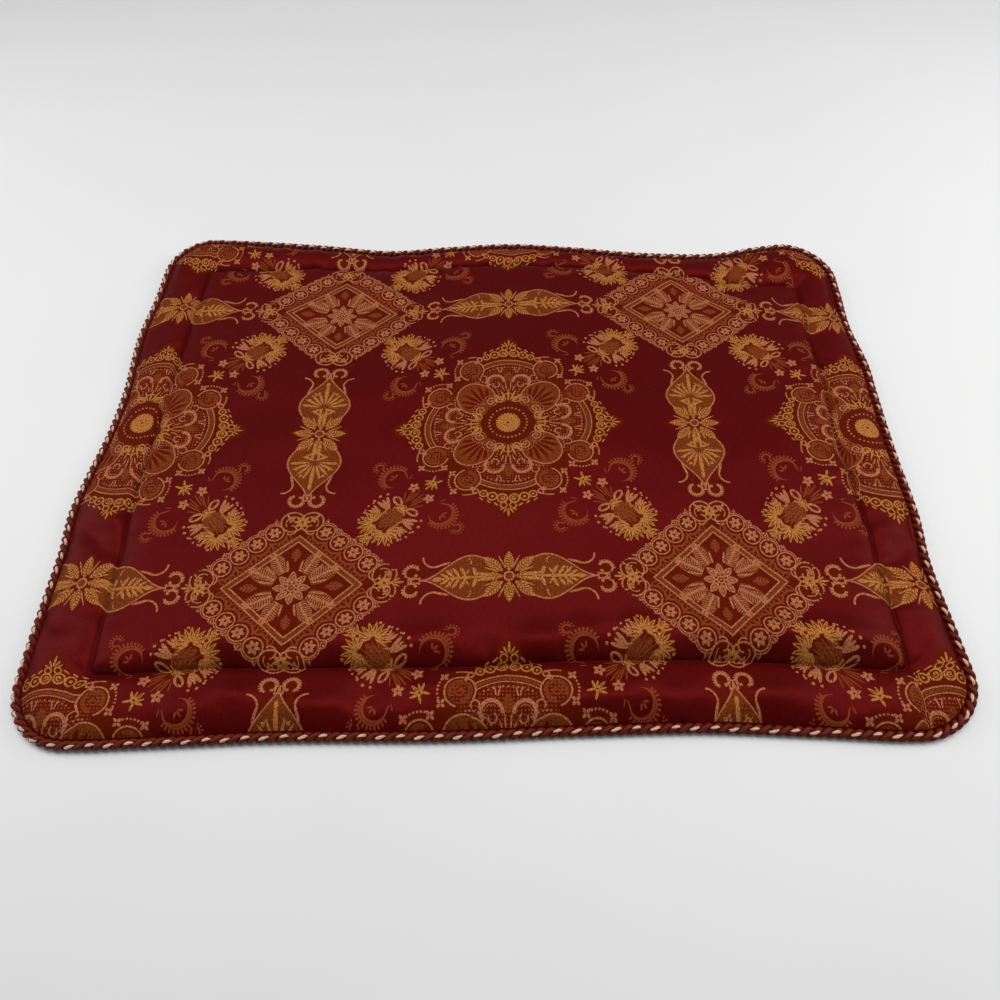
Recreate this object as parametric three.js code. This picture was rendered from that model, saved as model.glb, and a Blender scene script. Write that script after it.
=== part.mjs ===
// A jacquard pillow sham lying face up: a filled front panel with a flange and a sewn
// channel, an envelope back of two plain panels, and a twisted rope edging sewn all round.
// Millimetres, +Z up. The origin is at the middle of the bounding rectangle, on the surface
// that the sham lies on. +X runs along the long side and +Y towards the pulled-in back edge.

import * as THREE from 'three';
import { mergeVertices } from 'three/addons/utils/BufferGeometryUtils.js';

// Overall size over the edging
const WIDTH = 752;
const DEPTH = 596;

// Edging rope
const ROPE_RADIUS = 4.25;
const ROPE_SIDES = 8;

// Cloth
const CLEARANCE = 0.4;
const BACK_THICKNESS = 1.6;
const CORNER_RADIUS = 46;

// Heights of the front panel's face above the surface
const EDGE_HEIGHT = 5.6;
const CHANNEL_HEIGHT = 6.8;
const FLANGE_PUFF = 7.4;
const PANEL_PUFF = 8.0;
const CROWN = 11.6;

// How fast the padding swells away from the edge and from the sewn channel
const EDGE_ROUNDING = 9;
const CHANNEL_ROUNDING = 9;
const CHANNEL_CORNER = 14;

// Envelope back: the outer panel's hem lies under the inner panel's, across the middle
const OVERLAP_HALF = 45;
const STEP_RUN = 10;

// Length over which the lifted back edge comes down to the surface
const LIFT_REACH = 100;

// Spacing of the mesh lines across the middle
const MESH_PITCH = 40;

// Each side of the outline: how far it lies inside the bounding rectangle, and how wide the
// flange is from the cloth's edge to the sewn channel, at points along that side. The back
// edge also lifts off the surface in long waves.
const LEFT_SIDE = [
  { at: -250, inset: 9.2, flange: 50 },
  { at: -190, inset: 6.4, flange: 50 },
  { at: -123, inset: 4.4, flange: 49 },
  { at: -82, inset: 0.0, flange: 50 },
  { at: -45, inset: 2.4, flange: 47 },
  { at: 8, inset: 7.6, flange: 41 },
  { at: 64, inset: 7.8, flange: 41 },
  { at: 139, inset: 1.4, flange: 48 },
  { at: 194, inset: 3.9, flange: 46 },
  { at: 250, inset: 6.4, flange: 46 },
];
const RIGHT_SIDE = [
  { at: -257, inset: 5.4, flange: 41 },
  { at: -200, inset: 7.6, flange: 38 },
  { at: -135, inset: 9.0, flange: 36 },
  { at: -80, inset: 4.3, flange: 41 },
  { at: -10, inset: 4.2, flange: 43 },
  { at: 66, inset: 1.9, flange: 40 },
  { at: 115, inset: 0.0, flange: 43 },
  { at: 167, inset: 4.4, flange: 36 },
  { at: 224, inset: 2.4, flange: 36 },
];
const FRONT_SIDE = [
  { at: -290, inset: 0.0, flange: 50 },
  { at: -223, inset: 2.6, flange: 52 },
  { at: -157, inset: 5.0, flange: 49 },
  { at: -24, inset: 4.7, flange: 49 },
  { at: 63, inset: 7.6, flange: 50 },
  { at: 160, inset: 9.5, flange: 48 },
  { at: 236, inset: 6.2, flange: 47 },
  { at: 299, inset: 2.2, flange: 46 },
];
const BACK_SIDE = [
  { at: -332, inset: 0.0, flange: 47, lift: 6.3 },
  { at: -260, inset: 5.8, flange: 42, lift: 4.8 },
  { at: -188, inset: 13.1, flange: 33, lift: 2.5 },
  { at: -116, inset: 21.9, flange: 28, lift: 0.0 },
  { at: -47, inset: 21.4, flange: 28, lift: 3.0 },
  { at: 22, inset: 22.1, flange: 29, lift: 5.5 },
  { at: 91, inset: 28.6, flange: 27, lift: 4.0 },
  { at: 157, inset: 36.5, flange: 26, lift: 1.2 },
  { at: 224, inset: 41.6, flange: 32, lift: 0.2 },
  { at: 258, inset: 42.2, flange: 44, lift: 1.6 },
  { at: 293, inset: 39.4, flange: 55, lift: 5.6 },
  { at: 327, inset: 38.0, flange: 58, lift: 7.8 },
  { at: 360, inset: 38.0, flange: 56, lift: 5.0 },
];

// Main folds of the face: where each lies, the way it runs in degrees from +X, its length
// and width, and its rise above the padding, negative for a hollow
const FOLDS = [
  { x: -343, y: -111, run: -41, length: 66, width: 18, rise: -3.6 },
  { x: -330, y: -94, run: -41, length: 60, width: 20, rise: 1.8 },
  { x: -347, y: -211, run: 0, length: 34, width: 18, rise: -2.4 },
  { x: 344, y: -141, run: 32, length: 56, width: 18, rise: -3.6 },
  { x: 338, y: -118, run: 30, length: 56, width: 20, rise: 1.8 },
  { x: -186, y: -271, run: 0, length: 60, width: 26, rise: -2.6 },
  { x: -120, y: -276, run: 0, length: 60, width: 24, rise: -2.8 },
  { x: 84, y: -272, run: 4, length: 60, width: 30, rise: -3.4 },
  { x: 121, y: -256, run: 68, length: 40, width: 22, rise: -3.2 },
  { x: 154, y: -273, run: 0, length: 60, width: 26, rise: -3.4 },
  { x: 212, y: -279, run: 6, length: 56, width: 22, rise: -2.6 },
  { x: -66, y: 206, run: 60, length: 60, width: 24, rise: -2.6 },
  { x: 262, y: 178, run: -12, length: 90, width: 26, rise: -2.2 },
  { x: 322, y: 150, run: 74, length: 80, width: 24, rise: -2.4 },
];

const smoothStep = (t) => {
  const s = Math.min(Math.max(t, 0), 1);
  return s * s * (3 - 2 * s);
};

const smoothMin = (a, b, radius) => {
  const h = Math.max(radius - Math.abs(a - b), 0) / radius;
  return Math.min(a, b) - (h * h * radius) / 4;
};

// One column of a side's table as a smooth curve along that side
function along(side, column, at) {
  const last = side.length - 1;
  const spot = Math.min(Math.max(at, side[0].at), side[last].at);
  let row = 0;
  while (row < last - 1 && side[row + 1].at < spot) row += 1;
  const slope = (k) => {
    const before = side[Math.max(k - 1, 0)];
    const after = side[Math.min(k + 1, last)];
    return (after[column] - before[column]) / (after.at - before.at);
  };
  const start = side[row];
  const end = side[row + 1];
  const run = end.at - start.at;
  const t = (spot - start.at) / run;
  const rest = 1 - t;
  return start[column] * rest * rest * (1 + 2 * t) + end[column] * t * t * (3 - 2 * t)
    + run * t * rest * (slope(row) * rest - slope(row + 1) * t);
}

// Where the cloth's edge and the sewn channel run, on each side
const EDGING_BAND = 2 * ROPE_RADIUS + CLEARANCE;
const leftEdge = (y) => -WIDTH / 2 + EDGING_BAND + along(LEFT_SIDE, 'inset', y);
const rightEdge = (y) => WIDTH / 2 - EDGING_BAND - along(RIGHT_SIDE, 'inset', y);
const frontEdge = (x) => -DEPTH / 2 + EDGING_BAND + along(FRONT_SIDE, 'inset', x);
const backEdge = (x) => DEPTH / 2 - EDGING_BAND - along(BACK_SIDE, 'inset', x);
const leftChannel = (y) => leftEdge(y) + along(LEFT_SIDE, 'flange', y);
const rightChannel = (y) => rightEdge(y) - along(RIGHT_SIDE, 'flange', y);
const frontChannel = (x) => frontEdge(x) + along(FRONT_SIDE, 'flange', x);
const backChannel = (x) => backEdge(x) - along(BACK_SIDE, 'flange', x);

// Distance inwards from the cloth's edge, round the corners too
function insideEdge(x, y) {
  const across = Math.min(x - leftEdge(y), rightEdge(y) - x);
  const deep = Math.min(y - frontEdge(x), backEdge(x) - y);
  if (across > CORNER_RADIUS || deep > CORNER_RADIUS) return Math.min(across, deep);
  return CORNER_RADIUS - Math.hypot(CORNER_RADIUS - across, CORNER_RADIUS - deep);
}

// Distance inwards from the sewn channel, negative in the flange
function insideChannel(x, y) {
  const across = smoothMin(x - leftChannel(y), rightChannel(y) - x, CHANNEL_CORNER);
  const deep = smoothMin(y - frontChannel(x), backChannel(x) - y, CHANNEL_CORNER);
  return smoothMin(across, deep, CHANNEL_CORNER);
}

// How far the cloth is lifted off the surface near the back edge
function lift(x, y) {
  return along(BACK_SIDE, 'lift', x) * smoothStep(1 - (backEdge(x) - y) / LIFT_REACH);
}

function foldRise(x, y) {
  let rise = 0;
  for (const fold of FOLDS) {
    const turn = THREE.MathUtils.degToRad(fold.run);
    const dx = x - fold.x;
    const dy = y - fold.y;
    const lengthwise = (dx * Math.cos(turn) + dy * Math.sin(turn)) / (fold.length / 2);
    const crosswise = (dy * Math.cos(turn) - dx * Math.sin(turn)) / (fold.width / 2);
    rise += fold.rise * Math.exp(-lengthwise * lengthwise - crosswise * crosswise);
  }
  return rise;
}

// Height of the padding's face, before the lift
function faceHeight(x, y) {
  const edge = Math.max(insideEdge(x, y), 0);
  const channel = insideChannel(x, y);
  const swell = 1 - Math.exp(-Math.abs(channel) / CHANNEL_ROUNDING);
  if (channel < 0) {
    const roll = 1 - Math.exp(-edge / EDGE_ROUNDING);
    const base = EDGE_HEIGHT + (CHANNEL_HEIGHT - EDGE_HEIGHT) * roll;
    return base + FLANGE_PUFF * roll * swell + foldRise(x, y) * roll * swell;
  }
  const middleX = (leftChannel(y) + rightChannel(y)) / 2;
  const middleY = (frontChannel(x) + backChannel(x)) / 2;
  const domeX = Math.cos((Math.PI / 2) * (x - middleX) / (rightChannel(y) - middleX));
  const domeY = Math.cos((Math.PI / 2) * (y - middleY) / (backChannel(x) - middleY));
  const dome = domeX * domeX * domeY * domeY;
  return CHANNEL_HEIGHT + PANEL_PUFF * swell + CROWN * dome + foldRise(x, y) * swell;
}

// Underside of the front panel: flat, and raised over the envelope's overlap
function undersideHeight(x, y) {
  const overlap = smoothStep((OVERLAP_HALF + 2 * STEP_RUN - Math.abs(y)) / STEP_RUN);
  return (BACK_THICKNESS + CLEARANCE) * (1 + overlap);
}

// The inner back panel steps up over the hem of the outer one
function innerPanelHeight(x, y) {
  return (BACK_THICKNESS + CLEARANCE) * smoothStep((y + OVERLAP_HALF + STEP_RUN + 2) / STEP_RUN);
}

const withLift = (height) => (x, y) => height(x, y) + lift(x, y);

// Mesh lines from one edge to the other: close at the edge and channel, even in between.
// A line is a share of the flange, up to 1 at either channel, or a length in the middle.
const FLANGE_LINES = [0, 0.08, 0.25, 0.5, 0.76, 1];
const CHANNEL_LINES = [6, 18, 38];

function meshLines(span, extra = []) {
  const middle = [0, ...CHANNEL_LINES, ...CHANNEL_LINES.map((line) => span - line), span];
  const first = CHANNEL_LINES[CHANNEL_LINES.length - 1];
  const count = Math.round((span - 2 * first) / MESH_PITCH);
  for (let k = 1; k < count; k += 1) middle.push(first + ((span - 2 * first) * k) / count);
  const clear = middle.filter((line) => extra.every((other) => Math.abs(line - other) > STEP_RUN));
  const shares = [...clear, ...extra].sort((a, b) => a - b).map((line) => ({ middle: line / span }));
  const low = FLANGE_LINES.slice(0, -1).map((share) => ({ low: share }));
  const high = FLANGE_LINES.slice(0, -1).reverse().map((share) => ({ high: share }));
  return [...low, ...shares, ...high];
}

function place(line, lowEdge, lowChannel, highChannel, highEdge) {
  if (line.low !== undefined) return lowEdge + (lowChannel - lowEdge) * line.low;
  if (line.high !== undefined) return highEdge + (highChannel - highEdge) * line.high;
  return lowChannel + (highChannel - lowChannel) * line.middle;
}

// A corner of the mesh is drawn into a quarter circle
function roundCorner(x, y) {
  const sideX = x < 0 ? -1 : 1;
  const sideY = y < 0 ? -1 : 1;
  const edgeX = x < 0 ? leftEdge(y) : rightEdge(y);
  const edgeY = y < 0 ? frontEdge(x) : backEdge(x);
  const s = 1 - Math.abs(edgeX - x) / CORNER_RADIUS;
  const t = 1 - Math.abs(edgeY - y) / CORNER_RADIUS;
  if (s <= 0 || t <= 0) return [x, y];
  const drawnS = s * Math.sqrt(1 - (t * t) / 2);
  const drawnT = t * Math.sqrt(1 - (s * s) / 2);
  return [x - sideX * CORNER_RADIUS * (s - drawnS), y - sideY * CORNER_RADIUS * (t - drawnT)];
}

const MIDDLE_WIDTH = rightChannel(0) - leftChannel(0);
const MIDDLE_DEPTH = backChannel(0) - frontChannel(0);

// Rows fall where the underside and the inner panel step over the overlap
const STEP_ROWS = [
  -OVERLAP_HALF - 2 * STEP_RUN, -OVERLAP_HALF - STEP_RUN - 2, -OVERLAP_HALF - STEP_RUN,
  -OVERLAP_HALF - 2, -OVERLAP_HALF, OVERLAP_HALF, OVERLAP_HALF + STEP_RUN,
  OVERLAP_HALF + 2 * STEP_RUN,
];
const columns = meshLines(MIDDLE_WIDTH);
const rows = meshLines(MIDDLE_DEPTH, STEP_ROWS.map((y) => y - frontChannel(0)));

// The plan point where a column and a row cross. Rows across the overlap run straight.
function crossing(column, row) {
  const roughY = place(row, frontEdge(0), frontChannel(0), backChannel(0), backEdge(0));
  const x = place(column, leftEdge(roughY), leftChannel(roughY), rightChannel(roughY), rightEdge(roughY));
  const bent = place(row, frontEdge(x), frontChannel(x), backChannel(x), backEdge(x));
  const straight = smoothStep((Math.abs(roughY) - OVERLAP_HALF - 2 * STEP_RUN - 1) / MESH_PITCH);
  return roundCorner(x, roughY + (bent - roughY) * straight);
}

// Turns the cells' diagonals the other way, so that a face lies snug against its neighbour's
function mirrorCells(box) {
  box.scale(-1, 1, 1);
  for (let corner = 0; corner < box.index.count; corner += 3) {
    const second = box.index.getX(corner + 1);
    box.index.setX(corner + 1, box.index.getX(corner + 2));
    box.index.setX(corner + 2, second);
  }
}

// A closed slab of cloth between two heights: a box whose points are moved to the mesh lines
function clothSlab(slabRows, top, bottom, mirrored = false) {
  const across = columns.length - 1;
  const deep = slabRows.length - 1;
  const box = new THREE.BoxGeometry(across, deep, 1, across, deep, 1);
  if (mirrored) mirrorCells(box);
  box.deleteAttribute('normal');
  box.deleteAttribute('uv');
  const slab = mergeVertices(box);
  const points = slab.attributes.position;
  for (let k = 0; k < points.count; k += 1) {
    const column = columns[Math.round(points.getX(k) + across / 2)];
    const row = slabRows[Math.round(points.getY(k) + deep / 2)];
    const [x, y] = crossing(column, row);
    const height = points.getZ(k) > 0 ? top : bottom;
    points.setXYZ(k, x, y, height(x, y));
  }
  return slab;
}

// The edge of the cloth, counter-clockwise
function clothOutline() {
  const firstRow = rows[0];
  const lastRow = rows[rows.length - 1];
  const firstColumn = columns[0];
  const lastColumn = columns[columns.length - 1];
  const outline = [];
  columns.slice(0, -1).forEach((column) => outline.push(crossing(column, firstRow)));
  rows.slice(0, -1).forEach((row) => outline.push(crossing(lastColumn, row)));
  columns.slice(1).reverse().forEach((column) => outline.push(crossing(column, lastRow)));
  rows.slice(1).reverse().forEach((row) => outline.push(crossing(firstColumn, row)));
  return outline;
}

// The rope lies against the cloth's edge: a torus whose rings are moved to the outline
function ropeRing() {
  const outline = clothOutline();
  const count = outline.length;
  const torus = new THREE.TorusGeometry(WIDTH / 2, ROPE_RADIUS, ROPE_SIDES, count);
  torus.deleteAttribute('normal');
  torus.deleteAttribute('uv');
  const points = torus.attributes.position;
  const centre = outline.map(([x, y], k) => {
    const [beforeX, beforeY] = outline[(k + count - 1) % count];
    const [afterX, afterY] = outline[(k + 1) % count];
    const arrive = new THREE.Vector2(x - beforeX, y - beforeY).normalize();
    const leave = new THREE.Vector2(afterX - x, afterY - y).normalize();
    const outward = new THREE.Vector2(arrive.y + leave.y, -arrive.x - leave.x).normalize();
    const mitre = (ROPE_RADIUS + CLEARANCE) / outward.dot(new THREE.Vector2(leave.y, -leave.x));
    return { x: x + outward.x * mitre, y: y + outward.y * mitre, outward, lift: lift(x, y) };
  });
  for (let side = 0; side <= ROPE_SIDES; side += 1) {
    const turn = ((side % ROPE_SIDES) / ROPE_SIDES) * Math.PI * 2;
    for (let k = 0; k <= count; k += 1) {
      const ring = centre[k % count];
      const reach = ROPE_RADIUS * Math.cos(turn);
      points.setXYZ(side * (count + 1) + k, ring.x + ring.outward.x * reach,
        ring.y + ring.outward.y * reach, ROPE_RADIUS * (1 + Math.sin(turn)) + ring.lift);
    }
  }
  return mergeVertices(torus);
}

const burgundyJacquard = new THREE.MeshStandardMaterial({ color: 0x6b1517, roughness: 0.45, metalness: 0 });
const plainBacking = new THREE.MeshStandardMaterial({ color: 0x5a1216, roughness: 0.7, metalness: 0 });
const ropeYarn = new THREE.MeshStandardMaterial({ color: 0x4a0f12, roughness: 0.55, metalness: 0 });

const sham = new THREE.Group();
sham.name = 'pillow_sham';

function add(name, geometry, material) {
  geometry.computeVertexNormals();
  const mesh = new THREE.Mesh(geometry, material);
  mesh.name = name;
  sham.add(mesh);
}

// Rows of the two back panels, each up to its own hem
const rowHeight = (row) => place(row, frontEdge(0), frontChannel(0), backChannel(0), backEdge(0));
const outerRows = rows.filter((row) => rowHeight(row) > -OVERLAP_HALF - 1);
const innerRows = rows.filter((row) => rowHeight(row) < OVERLAP_HALF + 1);

add('front_panel', clothSlab(rows, withLift(faceHeight), withLift(undersideHeight)), burgundyJacquard);
add('back_panel_outer', clothSlab(outerRows, withLift(() => BACK_THICKNESS), withLift(() => 0), true),
  plainBacking);
add('back_panel_inner', clothSlab(innerRows, (x, y) => innerPanelHeight(x, y) + BACK_THICKNESS,
  innerPanelHeight), plainBacking);
add('rope_edging', ropeRing(), ropeYarn);

export default sham;
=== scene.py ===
"""The looks of a jacquard pillow sham: a quilted front with a sewn channel and a padded flange,
an envelope back of two plain panels, and a twisted rope edging.

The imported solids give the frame. Shapes are worked out in millimetres, in the solids' own
coordinates, and are turned into metres when a mesh is made. The woven figure is drawn by shader
maths from short lists of strokes, in millimetres of cloth, so that it follows every fold.
"""

import functools
import logging
import math
import operator
import random
from dataclasses import dataclass, field
from enum import Enum
from typing import Callable, Sequence, Union

import bmesh
import bpy
import numpy as np
from mathutils import Matrix, Vector


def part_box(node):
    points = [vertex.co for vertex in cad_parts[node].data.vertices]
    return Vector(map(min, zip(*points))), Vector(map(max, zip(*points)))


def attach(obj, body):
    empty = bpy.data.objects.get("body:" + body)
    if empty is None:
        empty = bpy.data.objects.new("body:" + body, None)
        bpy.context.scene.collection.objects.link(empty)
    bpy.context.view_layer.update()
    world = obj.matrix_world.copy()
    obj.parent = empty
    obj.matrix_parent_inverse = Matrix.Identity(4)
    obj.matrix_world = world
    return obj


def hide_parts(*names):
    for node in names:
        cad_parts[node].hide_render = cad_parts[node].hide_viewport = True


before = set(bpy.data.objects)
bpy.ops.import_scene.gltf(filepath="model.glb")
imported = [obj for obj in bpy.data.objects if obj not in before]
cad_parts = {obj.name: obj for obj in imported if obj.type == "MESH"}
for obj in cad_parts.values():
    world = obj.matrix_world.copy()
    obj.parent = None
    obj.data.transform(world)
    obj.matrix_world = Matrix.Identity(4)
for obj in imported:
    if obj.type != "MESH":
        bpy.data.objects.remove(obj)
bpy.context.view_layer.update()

LOG = logging.getLogger("pillow_sham")
MILLIMETRE = 0.001
CLOTH_MAP = "Cloth"
BAKE_MAP = "OFBake"

Number = Union["Flow", float]
Colour = tuple[float, float, float]


def linear(red: int, green: int, blue: int) -> Colour:
    """Return a colour given on a screen's 0 to 255 scale in the shader's linear values.

    Args:
        red: the red value.
        green: the green value.
        blue: the blue value.

    Returns:
        The three linear values, from 0 to 1.
    """
    shares = (red / 255, green / 255, blue / 255)
    return tuple(s / 12.92 if s <= 0.04045 else ((s + 0.055) / 1.055) ** 2.4 for s in shares)


class Flow:
    """A value that varies over a surface: a node's output, on which Python expressions act."""

    def __init__(self, finish: "FinishNodes", socket: bpy.types.NodeSocket) -> None:
        """Keep the output socket and the nodes that it belongs to."""
        self.finish = finish
        self.socket = socket

    def maths(self, operation: str, *values: Number) -> "Flow":
        """Return a Math node's result.

        Args:
            operation: the Math node's operation.
            values: what fills its sockets, in order.

        Returns:
            The node's output.
        """
        return self.finish.node("ShaderNodeMath", {"operation": operation}, dict(enumerate(values)))

    def __add__(self, other: Number) -> "Flow":
        """Return the sum."""
        return self.maths("ADD", self, other)

    def __sub__(self, other: Number) -> "Flow":
        """Return the difference."""
        return self.maths("SUBTRACT", self, other)

    def __rsub__(self, other: Number) -> "Flow":
        """Return a number less this value."""
        return self.maths("SUBTRACT", other, self)

    def __mul__(self, other: Number) -> "Flow":
        """Return the product."""
        return self.maths("MULTIPLY", self, other)

    def __truediv__(self, other: Number) -> "Flow":
        """Return the quotient."""
        return self.maths("DIVIDE", self, other)

    def __abs__(self) -> "Flow":
        """Return the value without its sign."""
        return self.maths("ABSOLUTE", self)

    def __lt__(self, other: Number) -> "Flow":
        """Return 1 where this value is the lower one, and 0 elsewhere."""
        return self.maths("LESS_THAN", self, other)

    def __gt__(self, other: Number) -> "Flow":
        """Return 1 where this value is the higher one, and 0 elsewhere."""
        return self.maths("GREATER_THAN", self, other)

    def __or__(self, other: Number) -> "Flow":
        """Return the mask of either shape."""
        return self.maths("MAXIMUM", self, other)

    def __and__(self, other: Number) -> "Flow":
        """Return the mask of what both shapes share."""
        return self.maths("MULTIPLY", self, other)

    def without(self, other: "Flow") -> "Flow":
        """Return this mask with another shape taken out of it."""
        return self.maths("GREATER_THAN", self, other)

    def within(self, middle: Number, half: float) -> "Flow":
        """Return 1 where the value lies no further than half from the middle."""
        return self.maths("COMPARE", self, middle, half)

    def fold(self, length: float) -> "Flow":
        """Return the value folded to and fro between 0 and a length."""
        return self.maths("PINGPONG", self, length)

    def cosine(self) -> "Flow":
        """Return the cosine of the value, in radians."""
        return self.maths("COSINE", self)

    def about_one(self, swing: float) -> "Flow":
        """Return a value from 0 to 1 as a factor that swings about 1."""
        return self * swing + (1 - swing / 2)


class Spot:
    """A place on the cloth, in millimetres, as a vector that runs through the nodes."""

    def __init__(self, vector: Flow) -> None:
        """Keep the vector, and room for what is worked out from it once."""
        self.vector = vector
        self.kept: dict[tuple, object] = {}

    def keep(self, key: tuple, make: Callable[[], object]) -> object:
        """Return what was made under a key, making it the first time.

        Args:
            key: what it is kept under.
            make: what makes it.

        Returns:
            What was made.
        """
        if key not in self.kept:
            self.kept[key] = make()
        return self.kept[key]

    def moved(self, operation: str, *values: object, output: int = 0) -> Flow:
        """Return a Vector Math node's result for this place."""
        inputs = dict(enumerate((self.vector, *values)))
        return self.vector.finish.node("ShaderNodeVectorMath", {"operation": operation}, inputs, output)

    def part(self, axis: int) -> Flow:
        """Return one coordinate of the place."""
        return self.vector.finish.node("ShaderNodeSeparateXYZ", {}, {0: self.vector}, axis)

    def joined_at(self, x: Number, y: Number) -> "Spot":
        """Return the place with these coordinates."""
        return Spot(self.vector.finish.node("ShaderNodeCombineXYZ", {}, {0: x, 1: y}))

    @property
    def x(self) -> Flow:
        """The first coordinate."""
        return self.keep(("x",), lambda: self.part(0))

    @property
    def y(self) -> Flow:
        """The second coordinate."""
        return self.keep(("y",), lambda: self.part(1))

    @property
    def reach(self) -> Flow:
        """The distance from the origin."""
        return self.keep(("reach",), lambda: self.moved("LENGTH", output=1))

    @property
    def turn(self) -> Flow:
        """The direction from the origin as a share of a full turn, 0.5 along the first axis."""
        return self.keep(("turn",), lambda: self.vector.finish.node(
            "ShaderNodeTexGradient", {"gradient_type": "RADIAL"}, {0: self.vector}, 1))

    def to(self, x: float, y: float) -> Flow:
        """Return the distance to a point."""
        return self.keep(("to", x, y), lambda: self.moved("DISTANCE", (x, y, 0), output=1))

    def placed(self, x: float, y: float, turn: float = 0.0, wide: float = 1.0,
               tall: float = 1.0) -> "Spot":
        """Return this place as seen by a shape of its own.

        Args:
            x: where the shape's middle is.
            y: where the shape's middle is.
            turn: the way that the shape's first axis points, in degrees.
            wide: the length that counts as 1 along its first axis.
            tall: the length that counts as 1 across it.

        Returns:
            The place in the shape's coordinates.
        """
        inputs = {"Vector": self.vector, "Location": (x, y, 0),
                  "Rotation": (0, 0, math.radians(turn)), "Scale": (wide, tall, 1)}
        return self.keep((x, y, turn, wide, tall), lambda: Spot(self.vector.finish.node(
            "ShaderNodeMapping", {"vector_type": "TEXTURE"}, inputs)))

    def mirrored(self) -> "Spot":
        """Return the place folded into one quarter."""
        return self.keep(("quarter",), lambda: Spot(self.moved("ABSOLUTE")))

    def mirrored_across(self) -> "Spot":
        """Return the place folded along the first axis."""
        return self.keep(("half",), lambda: self.joined_at(self.x, abs(self.y)))

    def eighth(self) -> "Spot":
        """Return the place folded into one eighth.

        Returns:
            The place with both coordinates positive and the first one the larger.
        """
        quarter = self.mirrored()
        return self.keep(("eighth",), lambda: quarter.joined_at(
            quarter.x.maths("MAXIMUM", quarter.x, quarter.y),
            quarter.x.maths("MINIMUM", quarter.x, quarter.y)))

    def repeated(self, pitch: float) -> "Spot":
        """Return the place folded into half a cell of a row that runs along the first axis."""
        return self.keep(("row", pitch), lambda: self.joined_at(
            (self.x + pitch / 2).fold(pitch / 2), self.y))

    def wrapped(self, x: float, y: float, half_x: float, half_y: float) -> "Spot":
        """Return the place from the nearest of the points that repeat from (x, y).

        Args:
            x: where one of the points is.
            y: where one of the points is.
            half_x: half the repeat along the first axis.
            half_y: half the repeat along the second axis.

        Returns:
            The place from the nearest point.
        """
        shifted = Spot(self.moved("SUBTRACT", (x, y, 0)))
        return Spot(shifted.moved("WRAP", (half_x, half_y, 0), (-half_x, -half_y, 0)))


class FinishNodes:
    """The nodes of one finish, ending in its shader."""

    def __init__(self, name: str) -> None:
        """Make a material.

        Args:
            name: the material's name.
        """
        self.material = bpy.data.materials.new(name)
        self.material.use_nodes = True
        self.tree = self.material.node_tree
        self.shader = self.tree.nodes["Principled BSDF"]

    def node(self, kind: str, settings: dict[str, object], inputs: dict, output: int = 0) -> Flow:
        """Add a node.

        Args:
            kind: the node's type.
            settings: its properties, set first.
            inputs: the values or flows of its sockets, by name or number.
            output: the number of the output that is wanted.

        Returns:
            That output.
        """
        made = self.tree.nodes.new(kind)
        for name, value in settings.items():
            setattr(made, name, value)
        for key, value in inputs.items():
            self.fill(made.inputs[key], value)
        return Flow(self, made.outputs[output])

    def fill(self, socket: bpy.types.NodeSocket, value: object) -> None:
        """Link a flow to a socket, or set the socket's value.

        Args:
            socket: the input socket.
            value: the flow, number, place or colour that it takes.
        """
        if isinstance(value, Flow):
            self.tree.links.new(value.socket, socket)
        elif isinstance(value, tuple) and socket.type == "RGBA":
            socket.default_value = (*value, 1.0)
        else:
            socket.default_value = value

    def set(self, **values: object) -> None:
        """Fill the shader's sockets, named in lower case with _ for a space."""
        for name, value in values.items():
            self.fill(self.shader.inputs[SHADER_SOCKETS[name]], value)

    def mix(self, share: Number, first: object, second: object) -> Flow:
        """Return a colour mixed from two, by the share of the second."""
        inputs = {0: share, 6: first, 7: second}
        return self.node("ShaderNodeMix", {"data_type": "RGBA"}, inputs, 2)

    def scaled(self, colour: object, amount: Number) -> Flow:
        """Return a colour made lighter or darker by an amount."""
        return self.node("ShaderNodeVectorMath", {"operation": "SCALE"}, {0: colour, 3: amount})

    def place(self) -> Spot:
        """Return the place in the piece's own coordinates, in millimetres."""
        here = self.node("ShaderNodeTexCoord", {}, {}, 3)
        return Spot(self.scaled(here, 1 / MILLIMETRE))

    def cloth(self) -> Spot:
        """Return the place on the flat cloth, in millimetres from the middle motif."""
        return Spot(self.node("ShaderNodeUVMap", {"uv_map": CLOTH_MAP}, {}))

    def noise(self, place: Spot, size: tuple[float, float, float], detail: float = 2.0) -> Flow:
        """Return soft noise.

        Args:
            place: the place that it is read at.
            size: how long its grains are along each axis, in millimetres.
            detail: how many finer layers it has.

        Returns:
            The noise, from 0 to 1.
        """
        grains = place.moved("MULTIPLY", tuple(1 / s for s in size))
        return self.node("ShaderNodeTexNoise", {}, {"Vector": grains, "Scale": 1.0, "Detail": detail})

    def bump(self, height: Flow, depth: float) -> None:
        """Raise the surface by a height from 0 to 1 of a depth in millimetres."""
        inputs = {"Height": height, "Distance": depth * MILLIMETRE, "Strength": 1.0}
        self.set(normal=self.node("ShaderNodeBump", {}, inputs))


SHADER_SOCKETS = {
    "colour": "Base Color", "roughness": "Roughness", "metallic": "Metallic", "normal": "Normal",
    "sheen": "Sheen Weight", "sheen_tint": "Sheen Tint", "specular": "Specular IOR Level",
    "specular_tint": "Specular Tint",
}


class Thread(Enum):
    """The coloured yarns of the figure, from the ground up."""

    DEEP = "deep rust"
    RUST = "rust"
    ROSE = "rose brown"
    COPPER = "copper"
    GOLD = "gold"


class Stroke:
    """A shape woven in one colour. Its mask is 1 inside the shape and 0 outside it."""

    def mask(self, spot: Spot) -> Flow:
        """Return the shape's mask at a place on the motif."""
        raise NotImplementedError


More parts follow.
